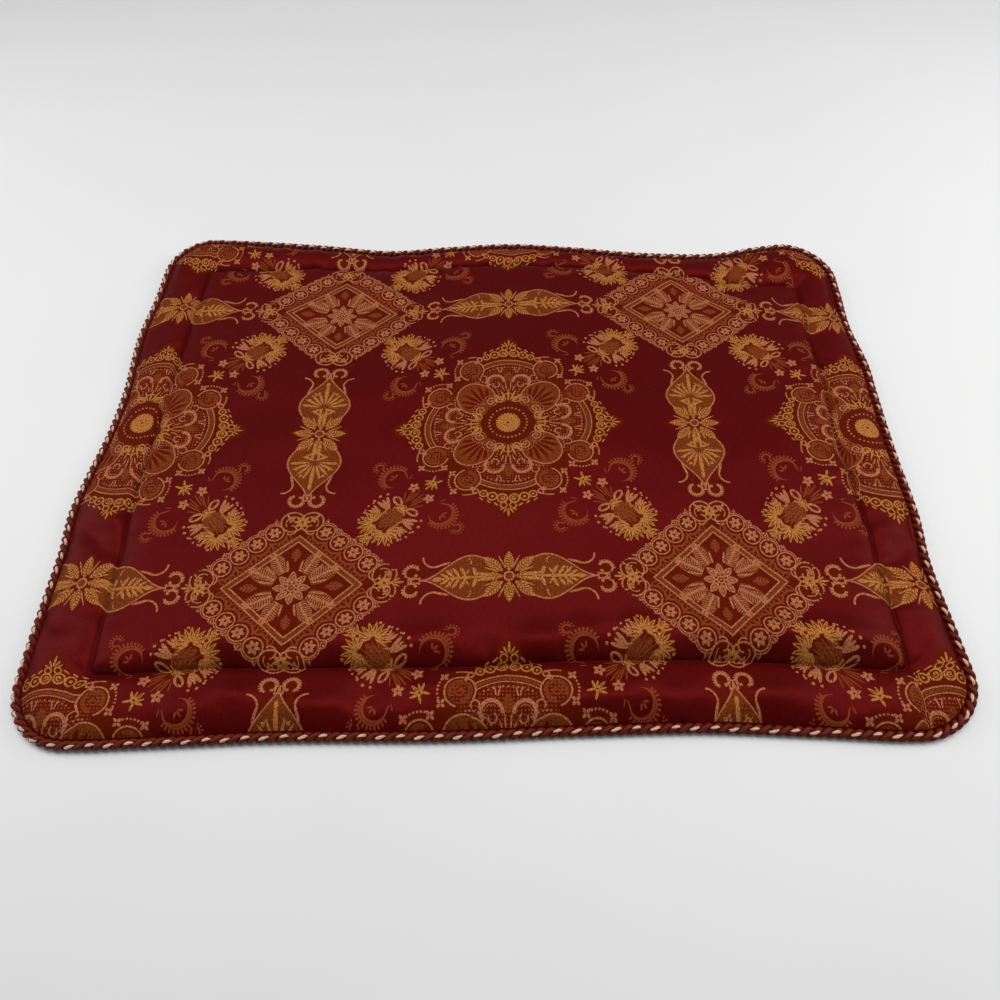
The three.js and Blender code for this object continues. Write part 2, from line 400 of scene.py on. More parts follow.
class RoundStroke(Stroke):
    """A stroke round a centre, all the way or within a span of degrees about its turn."""

    x: float
    y: float
    turn: float
    span: float

    def in_span(self, spot: Spot, shape: Flow) -> Flow:
        """Return a mask cut to the stroke's span.

        Args:
            spot: the place on the motif.
            shape: the mask of the stroke all the way round.

        Returns:
            The mask within the span.
        """
        if self.span >= 360:
            return shape
        return shape & spot.placed(self.x, self.y, self.turn).turn.within(0.5, self.span / 720)


@dataclass(frozen=True)
class Disc(Stroke):
    """A filled circle."""

    x: float
    y: float
    radius: float

    def mask(self, spot: Spot) -> Flow:
        """Return the circle's mask."""
        return spot.to(self.x, self.y) < self.radius


@dataclass(frozen=True)
class Ring(RoundStroke):
    """A drawn circle, or an arc of it about a direction in degrees."""

    x: float
    y: float
    radius: float
    half: float = 0.85
    turn: float = 0.0
    span: float = 360.0

    def mask(self, spot: Spot) -> Flow:
        """Return the ring's or arc's mask."""
        return self.in_span(spot, spot.to(self.x, self.y).within(self.radius, self.half))


@dataclass(frozen=True)
class Leaf(Stroke):
    """A long oval, such as a plain leaf or a tapering stroke."""

    x: float
    y: float
    turn: float
    length: float
    width: float

    def mask(self, spot: Spot) -> Flow:
        """Return the oval's mask."""
        return spot.placed(self.x, self.y, self.turn, self.length / 2, self.width / 2).reach < 1


@dataclass(frozen=True)
class Crescent(Stroke):
    """A circle with another circle taken out of it, such as the stroke of a scroll."""

    x: float
    y: float
    radius: float
    hollow_x: float
    hollow_y: float
    hollow: float

    def mask(self, spot: Spot) -> Flow:
        """Return the crescent's mask."""
        whole = spot.to(self.x, self.y) < self.radius
        return whole.without(spot.to(self.hollow_x, self.hollow_y) < self.hollow)


@dataclass(frozen=True)
class Petals(RoundStroke):
    """Petals round a centre, pointed at both ends. The first lies along the turn."""

    x: float
    y: float
    count: int
    start: float
    end: float
    half: float
    turn: float = 0.0
    span: float = 360.0
    outline: float = 0.0

    def mask(self, spot: Spot) -> Flow:
        """Return the petals' mask, or their outline's.

        Args:
            spot: the place on the motif.

        Returns:
            1 inside the shape and 0 outside it.
        """
        odd = self.count % 2
        local = spot.placed(self.x, self.y, self.turn + odd * 180 / self.count)
        across = (local.turn * self.count).fold(0.5) * (math.tau / self.count / 4 / self.half)
        along = (local.reach - self.start) / (self.end - self.start)
        profile = along * (1 - along)
        across = across * local.reach
        if self.outline:
            return self.in_span(spot, across.within(profile, self.outline / self.half / 4))
        return self.in_span(spot, across < profile)


@dataclass(frozen=True)
class Beads(RoundStroke):
    """Round beads on a circle, or on an arc of it."""

    x: float
    y: float
    radius: float
    count: int
    size: float
    turn: float = 0.0
    span: float = 360.0

    def mask(self, spot: Spot) -> Flow:
        """Return the beads' mask.

        Args:
            spot: the place on the motif.

        Returns:
            1 inside the shape and 0 outside it.
        """
        local = spot.placed(self.x, self.y, self.turn)
        across = (local.turn * self.count).fold(0.5) * (math.tau / self.count * self.radius)
        along = local.reach - self.radius
        return self.in_span(spot, across * across + along * along < self.size * self.size)


@dataclass(frozen=True)
class Scroll(Stroke):
    """A spiral line. A hand of 1 winds one way and of -1 the other."""

    x: float
    y: float
    radius: float
    pitch: float
    share: float
    turn: float = 0.0
    hand: int = 1

    def mask(self, spot: Spot) -> Flow:
        """Return the spiral's mask.

        Args:
            spot: the place on the motif.

        Returns:
            1 inside the shape and 0 outside it.
        """
        local = spot.placed(self.x, self.y, self.turn)
        wound = local.reach / self.pitch + local.turn * self.hand
        return (wound.fold(0.5) < self.share) & (local.reach < self.radius)


@dataclass(frozen=True)
class Dots(Stroke):
    """An even field of dots."""

    pitch: float
    size: float

    def mask(self, spot: Spot) -> Flow:
        """Return the dots' mask.

        Args:
            spot: the place on the motif.

        Returns:
            1 inside the shape and 0 outside it.
        """
        across = spot.x.fold(self.pitch / 2) - self.pitch / 4
        along = spot.y.fold(self.pitch / 2) - self.pitch / 4
        return across * across + along * along < self.size * self.size


@dataclass(frozen=True)
class Diamond(Stroke):
    """A lozenge, filled or as a drawn line."""

    wide: float
    tall: float
    line: float = 0.0

    def mask(self, spot: Spot) -> Flow:
        """Return the lozenge's mask.

        Args:
            spot: the place on the motif.

        Returns:
            1 inside the shape and 0 outside it.
        """
        edge = abs(spot.x) / self.wide + abs(spot.y) / self.tall
        if self.line:
            return edge.within(1, self.line * math.hypot(self.wide, self.tall) / self.wide / self.tall)
        return edge < 1


@dataclass(frozen=True)
class Frond(Stroke):
    """A pointed leaf cut into leaflets along its rib."""

    x: float
    y: float
    turn: float
    length: float
    width: float
    leaflets: float = 7.0
    gap: float = 0.14
    rib: float = 0.16

    def mask(self, spot: Spot) -> Flow:
        """Return the leaf's mask.

        Args:
            spot: the place on the motif.

        Returns:
            1 inside the shape and 0 outside it.
        """
        local = spot.placed(self.x, self.y, self.turn, self.length / 2, self.width / 2)
        across = abs(local.y)
        cuts = (local.x * (self.leaflets / 2) - across).fold(0.5) > self.gap
        return (local.x * local.x + across < 1) & (cuts | (across < self.rib))


@dataclass(frozen=True)
class Ogee(Stroke):
    """A long body that swells and narrows to a neck, filled or as its drawn outline."""

    middle: float
    half_length: float
    half_width: float
    start: float
    line: float = 0.0

    def mask(self, spot: Spot) -> Flow:
        """Return the body's or outline's mask.

        Args:
            spot: the place on the motif.

        Returns:
            1 inside the shape and 0 outside it.
        """
        along = spot.x.within((self.start + self.middle + self.half_length) / 2,
                              (self.middle + self.half_length - self.start) / 2)
        wave = ((spot.x - self.middle) * (math.pi / self.half_length)).cosine()
        profile = wave * (self.half_width / 2) + self.half_width / 2
        if self.line:
            return spot.y.within(profile, self.line) & along
        return (spot.y < profile) & along


@dataclass(frozen=True)
class Row(Stroke):
    """Strokes repeated, and mirrored, at an even pitch along a straight line."""

    x: float
    y: float
    turn: float
    pitch: float
    half_length: float
    strokes: tuple[Stroke, ...]

    def mask(self, spot: Spot) -> Flow:
        """Return the mask of the whole row.

        Args:
            spot: the place on the motif.

        Returns:
            1 inside the shape and 0 outside it.
        """
        local = spot.placed(self.x, self.y, self.turn)
        cell = local.repeated(self.pitch)
        return joined(self.strokes, cell) & local.x.within(0, self.half_length)


@dataclass(frozen=True)
class Layer:
    """Strokes of one thread, kept inside some shapes and out of others."""

    thread: Thread
    strokes: tuple[Stroke, ...]
    inside: tuple[Stroke, ...] = ()
    outside: tuple[Stroke, ...] = ()

    def mask(self, spot: Spot) -> Flow:
        """Return the mask of the whole layer at a place on the motif.

        Args:
            spot: the place on the motif.

        Returns:
            1 inside the shape and 0 outside it.
        """
        shape = joined(self.strokes, spot)
        if self.inside:
            shape = shape & joined(self.inside, spot)
        if self.outside:
            shape = shape.without(joined(self.outside, spot))
        return shape


def union(masks: Sequence[Flow]) -> Flow:
    """Return one mask that covers what any of several covers."""
    return functools.reduce(operator.or_, masks)


def joined(strokes: Sequence[Stroke], spot: Spot) -> Flow:
    """Return the mask of several strokes together."""
    return union([stroke.mask(spot) for stroke in strokes])


def medallion_layers() -> list[Layer]:
    """Draw the large round motif.

    Returns:
        Its layers in one eighth: x along an axis, y across it.
    """
    body = (Disc(0, 0, 75), Disc(66, 35.8, 18.4), Leaf(86, 0, 0, 46, 22), Leaf(83.5, 13, 114, 32, 13))
    heart = (Disc(30, 30, 18.4), Disc(34, 34, 16.2))
    heart_inner = (Disc(30, 30, 17.1), Disc(34, 34, 14.9))
    return [
        Layer(Thread.DEEP, body),
        Layer(Thread.RUST, heart_inner + (
            Ring(66, 35.8, 7.4, 1.5, -30, 300), Ring(30, 0, 45.8, 1.4, 0, 62), Leaf(57, 0, 0, 13, 7),
        ), outside=(Disc(0, 0, 24),)),
        Layer(Thread.DEEP, (Petals(19.5, 19.5, 22, 7, 30, 1.7, 53, 190),), inside=(Disc(30.8, 30.8, 14.6),)),
        Layer(Thread.ROSE, (
            Petals(19.5, 19.5, 22, 8, 32, 0.75, 45, 190), Leaf(31, 31, 45, 26, 1.2),
        ), inside=(Disc(30.8, 30.8, 15.4),)),
        Layer(Thread.ROSE, (
            Scroll(66, 35.8, 4.6, 3.2, 0.16), Ring(66, 35.8, 9.4, 0.35),
            Dots(5.6, 0.75),
        ), inside=(Disc(66, 35.8, 9.4), Disc(56, 8, 15.5), Disc(50, 30, 8)), outside=heart),
        Layer(Thread.COPPER, heart, outside=heart_inner + (Disc(17, 17, 9.5),)),
        Layer(Thread.COPPER, (
            Scroll(26.0, 16.2, 5.6, 3.2, 0.22, -40), Beads(26.0, 16.2, 7.4, 20, 0.6, 30, 200),
            Beads(0, 0, 17.8, 30, 0.95),
            Ring(66, 35.8, 11.6, 0.7, 20, 290),
            Ring(30, 0, 48.4, 0.6, 0, 66), Ring(30, 0, 43.4, 0.45, 0, 70),
            Ring(66, 35.8, 17.0, 0.6, -8, 44),
            Beads(66, 35.8, 16.9, 36, 0.9, 75, 80),
            Beads(30, 30, 21.6, 44, 0.8, -45, 104), Beads(30, 0, 39.6, 66, 0.75, 0, 60),
            Ring(55.5, 24.5, 3.2, 0.6, 0, 270), Ring(47, 11.6, 3.1, 0.6, 200, 280),
            Leaf(66, 6.6, -14, 8.5, 1.2), Leaf(66, 9.8, 14, 8.5, 1.2),
            Leaf(44.5, 2.2, 5, 12, 1.1), Leaf(42, 5.0, 20, 8, 1.1),
            Petals(78.2, 48, 4, 0.5, 4.1, 1.3, 45), Petals(57.6, 50, 4, 0.5, 4.1, 1.3, 45),
            Ring(79.6, 28.4, 2.3, 0.7), Ring(76.6, 31.6, 1.5, 0.55),
            Ring(50.5, 12.4, 8.2, 1.5, 10, 205), Beads(50.5, 12.4, 5.2, 18, 0.5, 40, 150),
            Leaf(47.6, 19.6, 20, 6.0, 2.8),
        )),
        Layer(Thread.GOLD, (
            Disc(0, 0, 10.2), Beads(0, 0, 10.6, 24, 1.1),
            Ring(87.4, 5.2, 4.2, 0.75), Scroll(87.4, 5.2, 2.6, 2.6, 0.3),
            Ring(85.4, 14.0, 3.9, 0.7), Disc(85.4, 14.0, 1.3),
            Ring(82.4, 21.6, 3.2, 0.65), Disc(82.4, 21.6, 1.0),
            Ring(94.6, 4.0, 2.7, 0.6), Leaf(93.6, 10.6, -50, 5.6, 1.7),
            Leaf(91, 17.0, -50, 4.8, 1.6), Leaf(88, 23.6, -50, 4.8, 1.4),
            Leaf(102.0, 0, 0, 8.0, 1.9), Leaf(99.8, 2.8, 34, 6.0, 1.5), Leaf(98.4, 5.4, 60, 4.4, 1.3),
            Petals(22, 0, 16, 4, 20, 1.0, 0, 118), Ring(28.2, 7.8, 3.2, 0.7), Disc(28.2, 7.8, 1.1),
            Leaf(31.5, 0, 0, 9, 2.2), Ring(31, 0, 4.6, 0.6, 0, 200),
        )),
        Layer(Thread.DEEP, (Disc(0, 0, 1.2), Beads(0, 0, 4.6, 10, 0.45))),
    ]


def lozenge_layers() -> list[Layer]:
    """Draw the lozenge with its border of ringed rosettes.

    Returns:
        Its layers in one quarter.
    """
    side = dict(x=41.0, y=35.8, turn=-41.1, pitch=17.2, half_length=34.4)
    return [
        Layer(Thread.DEEP, (
            Diamond(78, 68), Row(**side, strokes=(Disc(0, 0, 9.0), Disc(8.6, 6.5, 4.2))),
            Disc(8, 64, 11.2), Disc(75, 7.6, 11.2), Leaf(87, 0, 0, 9, 6),
        )),
        Layer(Thread.RUST, (
            Diamond(54, 46.9, 2.2), Leaf(23.5, 11.2, 25, 29, 15), Leaf(12.4, 20.6, 61, 26, 14),
        )),
        Layer(Thread.ROSE, (
            Frond(35, 0, 0, 15, 8, 5, 0.16), Frond(0, 31, 90, 13, 8, 5, 0.16),
            Row(**side, strokes=(
                Leaf(8.6, -9.4, 90, 8, 2.4), Leaf(4.6, -10.4, 40, 8, 2.0), Ring(2.2, -13.2, 2.2, 0.5),
                Ring(8.6, -14.5, 1.7, 0.5), Leaf(0, -11.2, 0, 3, 1.4),
            )),
        )),
        Layer(Thread.GOLD, (
            Leaf(35.5, 14.6, 10, 5, 1.6), Leaf(33.0, 18.4, 34, 5, 1.6), Leaf(17.0, 31.6, 46, 5, 1.6),
            Leaf(20.6, 29.6, 70, 5, 1.6), Petals(0, 64, 8, 0.8, 7.2, 1.5), Petals(75.5, 0, 8, 0.8, 7.2, 1.5),
            Leaf(87, 0, 0, 8, 2.0), Leaf(85.6, 2.6, 30, 5, 1.4), Leaf(12.6, 70, 60, 5, 2.0),
            Leaf(82, 12.6, 40, 5, 2.0),
        )),
        Layer(Thread.COPPER, (
            Frond(24.2, 11.6, 25, 29, 14, 14, 0.31), Frond(12.8, 21.2, 61, 26, 13, 13, 0.31),
            Leaf(22, 5.2, 8, 13, 2.0), Leaf(5.6, 19.6, 82, 12, 2.0), Leaf(19.4, 16.6, 44, 13, 2.0),
        )),
        Layer(Thread.DEEP, (
            Disc(0, 0, 16.0), Leaf(25, 7.4, 14, 16, 0.9), Leaf(7.6, 23.0, 76, 14, 0.9),
        )),
        Layer(Thread.COPPER, (
            Diamond(57.5, 50, 0.65), Diamond(50.6, 44, 0.65),
            Petals(0, 0, 8, 3.6, 15.4, 3.3), Ring(0, 0, 2.9, 0.7), Disc(0, 0, 1.1),
            Row(**side, strokes=(
                Ring(0, 0, 7.6, 0.62), Petals(0, 0, 6, 0.8, 5.8, 1.6, 90), Ring(0, 0, 9.4, 0.4, 90, 130),
                Leaf(8.6, 8.6, 90, 5.2, 1.5), Leaf(6.2, 8.2, 50, 4.4, 1.3),
            )),
            Ring(8, 64, 9.8, 0.7), Ring(8.6, 56, 4.6, 0.6, 200, 220), Ring(7.2, 63, 6.4, 0.5, 60, 200),
            Ring(75, 7.6, 9.8, 0.7), Ring(67, 8.0, 4.6, 0.6, 240, 220), Ring(74, 7, 6.4, 0.5, 20, 200),
            Petals(9.4, 66.6, 5, 0.4, 3.6, 1.0), Petals(77.6, 8.6, 5, 0.4, 3.6, 1.0),
        )),
        Layer(Thread.DEEP, (
            Petals(0, 0, 8, 6.6, 13.2, 1.4, 0, 360, 0.3),
            Row(**side, strokes=(Disc(0, 0, 0.9),)), Disc(0, 64, 0.9), Disc(75.5, 0, 0.9),
        )),
    ]


@dataclass(frozen=True)
class Bar:
    """Sizes of a long motif with two ogee bodies either side of a flower."""

    middle: float
    half_length: float
    half_width: float
    body_start: float
    hook_x: float
    hook_y: float
    hook_radius: float
    scroll_x: float
    scroll_y: float
    scroll_radius: float
    plume: tuple[Stroke, ...]


FEATHER_BAR = Bar(
    middle=31, half_length=41, half_width=20.4, body_start=17,
    hook_x=60.4, hook_y=21.4, hook_radius=9.8,
    scroll_x=78.6, scroll_y=7.6, scroll_radius=5.6,
    plume=(
        Leaf(41, 0, 0, 44, 2.6), Leaf(27.5, 5.0, 72, 8.5, 3.0), Leaf(33.4, 5.2, 116, 5.0, 1.6),
        Leaf(37.0, 5.4, 62, 10.0, 2.8), Leaf(42.6, 5.2, 56, 10.0, 2.6), Leaf(47.6, 4.6, 46, 9.6, 2.5),
        Leaf(52.0, 3.0, 32, 8, 2.2), Leaf(57.6, 0, 0, 8, 4.2), Leaf(20, 2.4, 8, 18, 2.4),
    ),
)
PALMETTE_BAR = Bar(
    middle=34, half_length=44, half_width=23.2, body_start=16,
    hook_x=61.0, hook_y=23.4, hook_radius=8.8,
    scroll_x=77.5, scroll_y=8.6, scroll_radius=5.6,
    plume=(
        Leaf(51, 0, 0, 21, 3.6), Petals(32, 0, 18, 4, 22, 1.3, 0, 190), Leaf(28.5, 6.0, 112, 11, 2.6),
        Leaf(24.5, 5.2, 60, 9, 2.2), Leaf(21, 2.4, 2, 20, 2.6), Disc(41.8, 14.6, 1.4), Disc(34.5, 16.6, 1.3),
        Disc(48.6, 9.6, 1.4), Leaf(61.5, 0, 0, 7, 3.4),
    ),
)


def bar_layers(bar: Bar) -> list[Layer]:
    """Draw a long motif.

    Args:
        bar: its sizes.

    Returns:
        Its layers in one quarter: x along it, y across it.
    """
    sizes = dict(middle=bar.middle, half_length=bar.half_length, half_width=bar.half_width)
    return [
        Layer(Thread.DEEP, (
            Ogee(**sizes | {"half_width": bar.half_width + 2.0}, start=4),
            Disc(bar.scroll_x, bar.scroll_y, bar.scroll_radius + 2.6), Leaf(bar.hook_x - 2, 11, 0, 20, 7),
            Disc(0, 0, 17), Leaf(0, 15.5, 90, 21, 9),
        )),
        Layer(Thread.RUST, (Ogee(**sizes, start=bar.body_start),)),
        Layer(Thread.COPPER, (
            Ogee(**sizes, start=bar.body_start, line=0.75),
            Ring(bar.hook_x, bar.hook_y, bar.hook_radius, 0.8, -58, 118),
            Leaf(bar.hook_x - 6, bar.hook_y - bar.hook_radius + 1.6, -16, 14, 2.2),
            Ring(bar.scroll_x, bar.scroll_y, bar.scroll_radius, 1.1, 15, 285),
            Beads(bar.scroll_x, bar.scroll_y, bar.scroll_radius + 1.5, 20, 0.8, 20, 230),
            Disc(bar.scroll_x - 3.6, bar.scroll_y - 2.8, 1.4),
            Leaf(bar.scroll_x - 6.4, 0, 90, 8, 1.2), Leaf(bar.scroll_x - 3.4, bar.scroll_y - 5.4, 0, 9, 1.5),
            Ring(0, 0, 3.8, 0.8), Leaf(5.6, 13.0, 64, 14, 1.3),
            Ring(bar.middle + 4, bar.half_width - 6.5, 4.4, 0.5, 160, 90),
            Ring(bar.middle + 20, bar.half_width - 13.5, 4.2, 0.5, 200, 90),
        )),
        Layer(Thread.GOLD, bar.plume + (
            Frond(12.6, 11.4, 42, 21, 8.6, 8, 0.15), Frond(0, 14.0, 90, 19, 8.0, 8, 0.15),
            Frond(14.6, 0, 0, 20, 8.0, 8, 0.15), Leaf(14.2, 6.2, 22, 12, 1.4),
        )),
        Layer(Thread.DEEP, (Leaf(12, 10.8, 42, 14, 0.6), Leaf(13, 0, 0, 13, 0.6), Leaf(0, 12, 90, 12, 0.6))),
        Layer(Thread.RUST, (Disc(0, 0, 2.8),)),
    ]


def tulip(x: float, y: float, turn: float, size: float) -> tuple[Stroke, ...]:
    """Draw a small cup-shaped flower with a dot over each petal.

    Args:
        x: where its middle is.
        y: where its middle is.
        turn: the way that it opens, in degrees.
        size: how long it is.

    Returns:
        Its strokes.
    """
    way = math.radians(turn)

    def at(ahead: float, aside: float) -> tuple[float, float]:
        """Return a place on the flower, in shares of its size."""
        return (x + size * (ahead * math.cos(way) - aside * math.sin(way)),
                y + size * (ahead * math.sin(way) + aside * math.cos(way)))

    return (
        Leaf(*at(0, 0.22), turn + 17, size, size * 0.26), Leaf(*at(0, -0.22), turn - 17, size, size * 0.26),
        Leaf(*at(0.06, 0), turn, size * 0.7, size * 0.2), Disc(*at(-0.4, 0), size * 0.16),
        Disc(*at(0.78, 0), size * 0.11), Disc(*at(0.66, 0.5), size * 0.1), Disc(*at(0.66, -0.5), size * 0.1),
    )


def sprig_layers() -> list[Layer]:
    """Draw the flower spray on the diagonal from a medallion to a lozenge.

    Returns:
        Its layers in one half: x outwards from the medallion's centre, y across the diagonal.
    """
    bud = Leaf(126.4, 9.4, 100, 12.5, 7.4)
    return [
        Layer(Thread.DEEP, (
            Leaf(143, 0, 0, 38, 34), Disc(157, 8, 11.2), Leaf(173, 0, 0, 18, 12), Leaf(138, 14, 90, 18, 18),
            Disc(107.8, 9.9, 4.6), Leaf(94, 0, 0, 15, 8), Leaf(119, 3, 0, 20, 9),
        )),
        Layer(Thread.ROSE, (
            Leaf(117, 5.6, -20, 17, 1.3), Leaf(113, 2.0, -6, 14, 1.2), Leaf(119, 9, -40, 9, 1.2),
            Leaf(116, 3.8, -12, 13, 1.0),
        )),
        Layer(Thread.RUST, (Leaf(142, 0, 0, 27, 8), Leaf(141, 6.0, 18, 25, 7.0))),
        Layer(Thread.ROSE, (
            Leaf(143, 2.9, 9, 24, 1.4), Leaf(143, 0, 0, 22, 1.0), Leaf(141, 9.6, 26, 21, 1.2),
            Leaf(141, 6.2, 18, 18, 0.9),
        )),
        Layer(Thread.COPPER, (
            Petals(107.8, 9.9, 5, 0.6, 5.4, 1.6, 100),
            *tulip(135.4, 15.6, 104, 12.5), *tulip(145.6, 17.4, 84, 9.5), Leaf(139.6, 9.8, 140, 8, 1.4),
            Leaf(151.6, 17.0, 70, 7.0, 2.4), Disc(153.0, 22.0, 1.2), Disc(161, 19.8, 1.3),
        )),
        Layer(Thread.COPPER, (bud,), outside=(
            Leaf(126.6, 9.6, 100, 8.6, 2.6), Leaf(125.0, 9.9, 112, 8.0, 1.0),
        )),
        Layer(Thread.GOLD, (
            Disc(129.4, 0, 2.2), Leaf(131, 3.6, 60, 8, 2.0), Ring(129.4, 0, 3.4, 0.5),
            Petals(154.6, 6.8, 15, 1.4, 15.2, 1.75, 52, 236),
            Petals(164.8, 0, 6, 1.2, 5.2, 1.6), Frond(174, 0, 0, 15, 7.6, 6), Leaf(170.6, 4.6, 32, 8, 1.8),
            Leaf(98.6, 0, 0, 9, 2.4), Leaf(94.6, 3.8, 62, 9, 2.2), Leaf(90.4, 2.8, 150, 8, 2.0),
            Leaf(96.6, 2.6, 30, 8, 1.6), Leaf(94, 0, 0, 5, 4),
        )),
        Layer(Thread.DEEP, (
            Disc(94, 0, 0.9), Leaf(99, 0, 0, 5, 0.7), Petals(154.6, 6.8, 15, 5.4, 13.0, 0.42, 52, 230),
        )),
    ]


def paisley_layers() -> list[Layer]:
    """Draw the faint feathered crescent with a curl at its back.

    Returns:
        Its layers, about its own middle.
    """
    return [
        Layer(Thread.ROSE, (
            Petals(1.2, -2.4, 26, 11.2, 15.0, 0.95, 100, 200), Crescent(1.2, -2.4, 11.4, 1.6, -4.6, 9.6),
            Petals(-2.1, 16.3, 13, 4.6, 6.8, 0.7, 100, 250), Ring(-2.1, 16.3, 3.4, 0.8, 60, 300),
            Petals(1.0, -4.0, 7, 0.8, 6.0, 0.9, 95, 150), Leaf(-9.4, -6.0, 118, 8, 1.2),
            Leaf(10.8, -7.4, 76, 9, 1.2), Leaf(12.8, -11.4, 40, 6, 1.0),
        )),
        Layer(Thread.DEEP, (Beads(1.2, -2.4, 9.9, 36, 0.5, 100, 130), Disc(-2.1, 16.3, 0.8))),
    ]


class Figure(Enum):
    """The parts of the woven figure. Each has its own material, on the faces it covers."""

    SPRIG = 0
    MEDALLION = 1
    LOZENGE = 2
    FEATHER_BAR = 3
    PALMETTE_BAR = 4
    PLAIN = 5


@dataclass(frozen=True)
class Repeat:
    """The woven repeat: how far the lozenges lie from the medallions, along and across, and how
    far each motif's faces reach from its middle."""

    along: float = 175.6
    across: float = 163.7
    medallion: float = 81.0
    scroll_x: float = 66.0
    scroll_y: float = 35.8
    scroll: float = 21.5
    crest: float = 111.0
    crest_slope: float = 0.79
    crest_half: float = 31.0
    lozenge_points: tuple[float, float] = (97.0, 86.0)
    lozenge_ends: tuple[float, float] = (93.0, 78.0)
    feather_half: float = 30.0
    feather_gap: float = 84.0
    palmette_half: float = 29.0
    palmette_gap: float = 76.0

    def figure_at(self, x: float, y: float) -> Figure:
        """Return the part of the figure that covers a place.

        Args:
            x: the place on the flat cloth.
            y: the place on the flat cloth.

        Returns:
            The part of the figure.
        """
        u = abs((x + self.along) % (2 * self.along) - self.along)
        v = abs((y + self.across) % (2 * self.across) - self.across)
        off_u, off_v = abs(u - self.along), abs(v - self.across)
        inside = off_u / self.lozenge_points[0] + off_v / self.lozenge_points[1] < 1
        if inside and off_u < self.lozenge_ends[0] and off_v < self.lozenge_ends[1]:
            return Figure.LOZENGE
        if off_u < self.palmette_half and v < self.across - self.palmette_gap:
            return Figure.PALMETTE_BAR
        if off_v < self.feather_half and u < self.along - self.feather_gap:
            return Figure.FEATHER_BAR
        along, across = max(u, v), min(u, v)
        scroll = math.hypot(along - self.scroll_x, across - self.scroll_y) < self.scroll
        crest = along + self.crest_slope * across < self.crest and across < self.crest_half
        if scroll or crest or math.hypot(u, v) < self.medallion:
            return Figure.MEDALLION
        return Figure.SPRIG


@dataclass(frozen=True)
class Jacquard:
    """The front's cloth: a satin ground with a figure in five coloured yarns."""

    repeat: Repeat = Repeat()
    ground: Colour = linear(73, 7, 6)
    gloss: float = 0.43
    dulling: float = 0.22
    metallic: float = 0.31
    specular: float = 0.02
    slub_size: tuple[float, float, float] = (0.7, 9.0, 1.0)
    float_size: tuple[float, float, float] = (6.0, 0.8, 1.0)
    knot_size: tuple[float, float, float] = (1.3, 1.6, 1.0)
    streaks: float = 0.5
    knots: float = 2.4
    pick: float = 0.45
    pick_rise: float = 0.6
    float_rise: float = 0.7
    slub_rise: float = 0.4
    relief: float = 0.10
    yarns: dict[Thread, Colour] = field(default_factory=lambda: {
        Thread.DEEP: linear(78, 16, 2),
        Thread.RUST: linear(96, 41, 13),
        Thread.ROSE: linear(110, 48, 24),
        Thread.COPPER: linear(142, 84, 56),
        Thread.GOLD: linear(144, 90, 44),
    })

    def layers(self, figure: Figure, cloth: Spot) -> list[tuple[Spot, list[Layer]]]:
        """Return where each motif of a part of the figure is drawn from, and its layers.

        Args:
            figure: the part of the figure.
            cloth: the place on the flat cloth.

        Returns:
            Pairs of a folded place and the motif's layers.
        """
        a, b = self.repeat.along, self.repeat.across
        if figure is Figure.MEDALLION:
            return [(cloth.wrapped(0, 0, a, b).eighth(), medallion_layers())]
        if figure is Figure.LOZENGE:
            return [(cloth.wrapped(a, b, a, b).mirrored(), lozenge_layers())]
        if figure is Figure.FEATHER_BAR:
            return [(cloth.wrapped(0, b, a, b).mirrored(), bar_layers(FEATHER_BAR))]
        if figure is Figure.PALMETTE_BAR:
            upright = cloth.wrapped(a, 0, a, b).placed(0, 0, 90)
            return [(upright.mirrored(), bar_layers(PALMETTE_BAR))]
        if figure is Figure.SPRIG:
            quarter = cloth.wrapped(0, 0, a, b).mirrored()
            return [
                (quarter.eighth().placed(104, 55.5, -142), paisley_layers()),
                (quarter.placed(0, 0, 45).mirrored_across(), sprig_layers()),
            ]
        return []

    def dress(self, figure: Figure) -> bpy.types.Material:
        """Make the material of one part of the figure.

        Args:
            figure: the part of the figure.

        Returns:
            The material.
        """
        finish = FinishNodes(f"jacquard_{figure.name.lower()}")
        cloth = finish.cloth()
        slubs = finish.noise(cloth, self.slub_size, 1.0)
        floats = finish.noise(cloth, self.float_size, 1.0)
        raised: list[Flow] = []
        woven: list[Flow] = []
        colour = finish.scaled(self.ground, slubs.about_one(self.streaks))
        for spot, layers in self.layers(figure, cloth):
            for layer in layers:
                mask = layer.mask(spot)
                colour = finish.mix(mask, colour, self.yarns[layer.thread])
                woven.append(mask)
                if layer.thread not in (Thread.DEEP, Thread.ROSE):
                    raised.append(mask)
        shade = floats.about_one(self.streaks)
        roughness: Number = self.gloss
        if woven:
            knots = (finish.noise(cloth, self.knot_size, 1.0) - 0.5) * self.knots
            shade = shade * (union(raised) * knots + 1.0)
            roughness = union(woven) * self.dulling + self.gloss
        finish.set(colour=finish.scaled(colour, shade), roughness=roughness,
                   metallic=self.metallic, specular=self.specular)
        picks = cloth.x.fold(self.pick) * self.pick_rise
        finish.bump(picks + floats * self.float_rise + slubs * self.slub_rise, self.relief)
        return finish.material


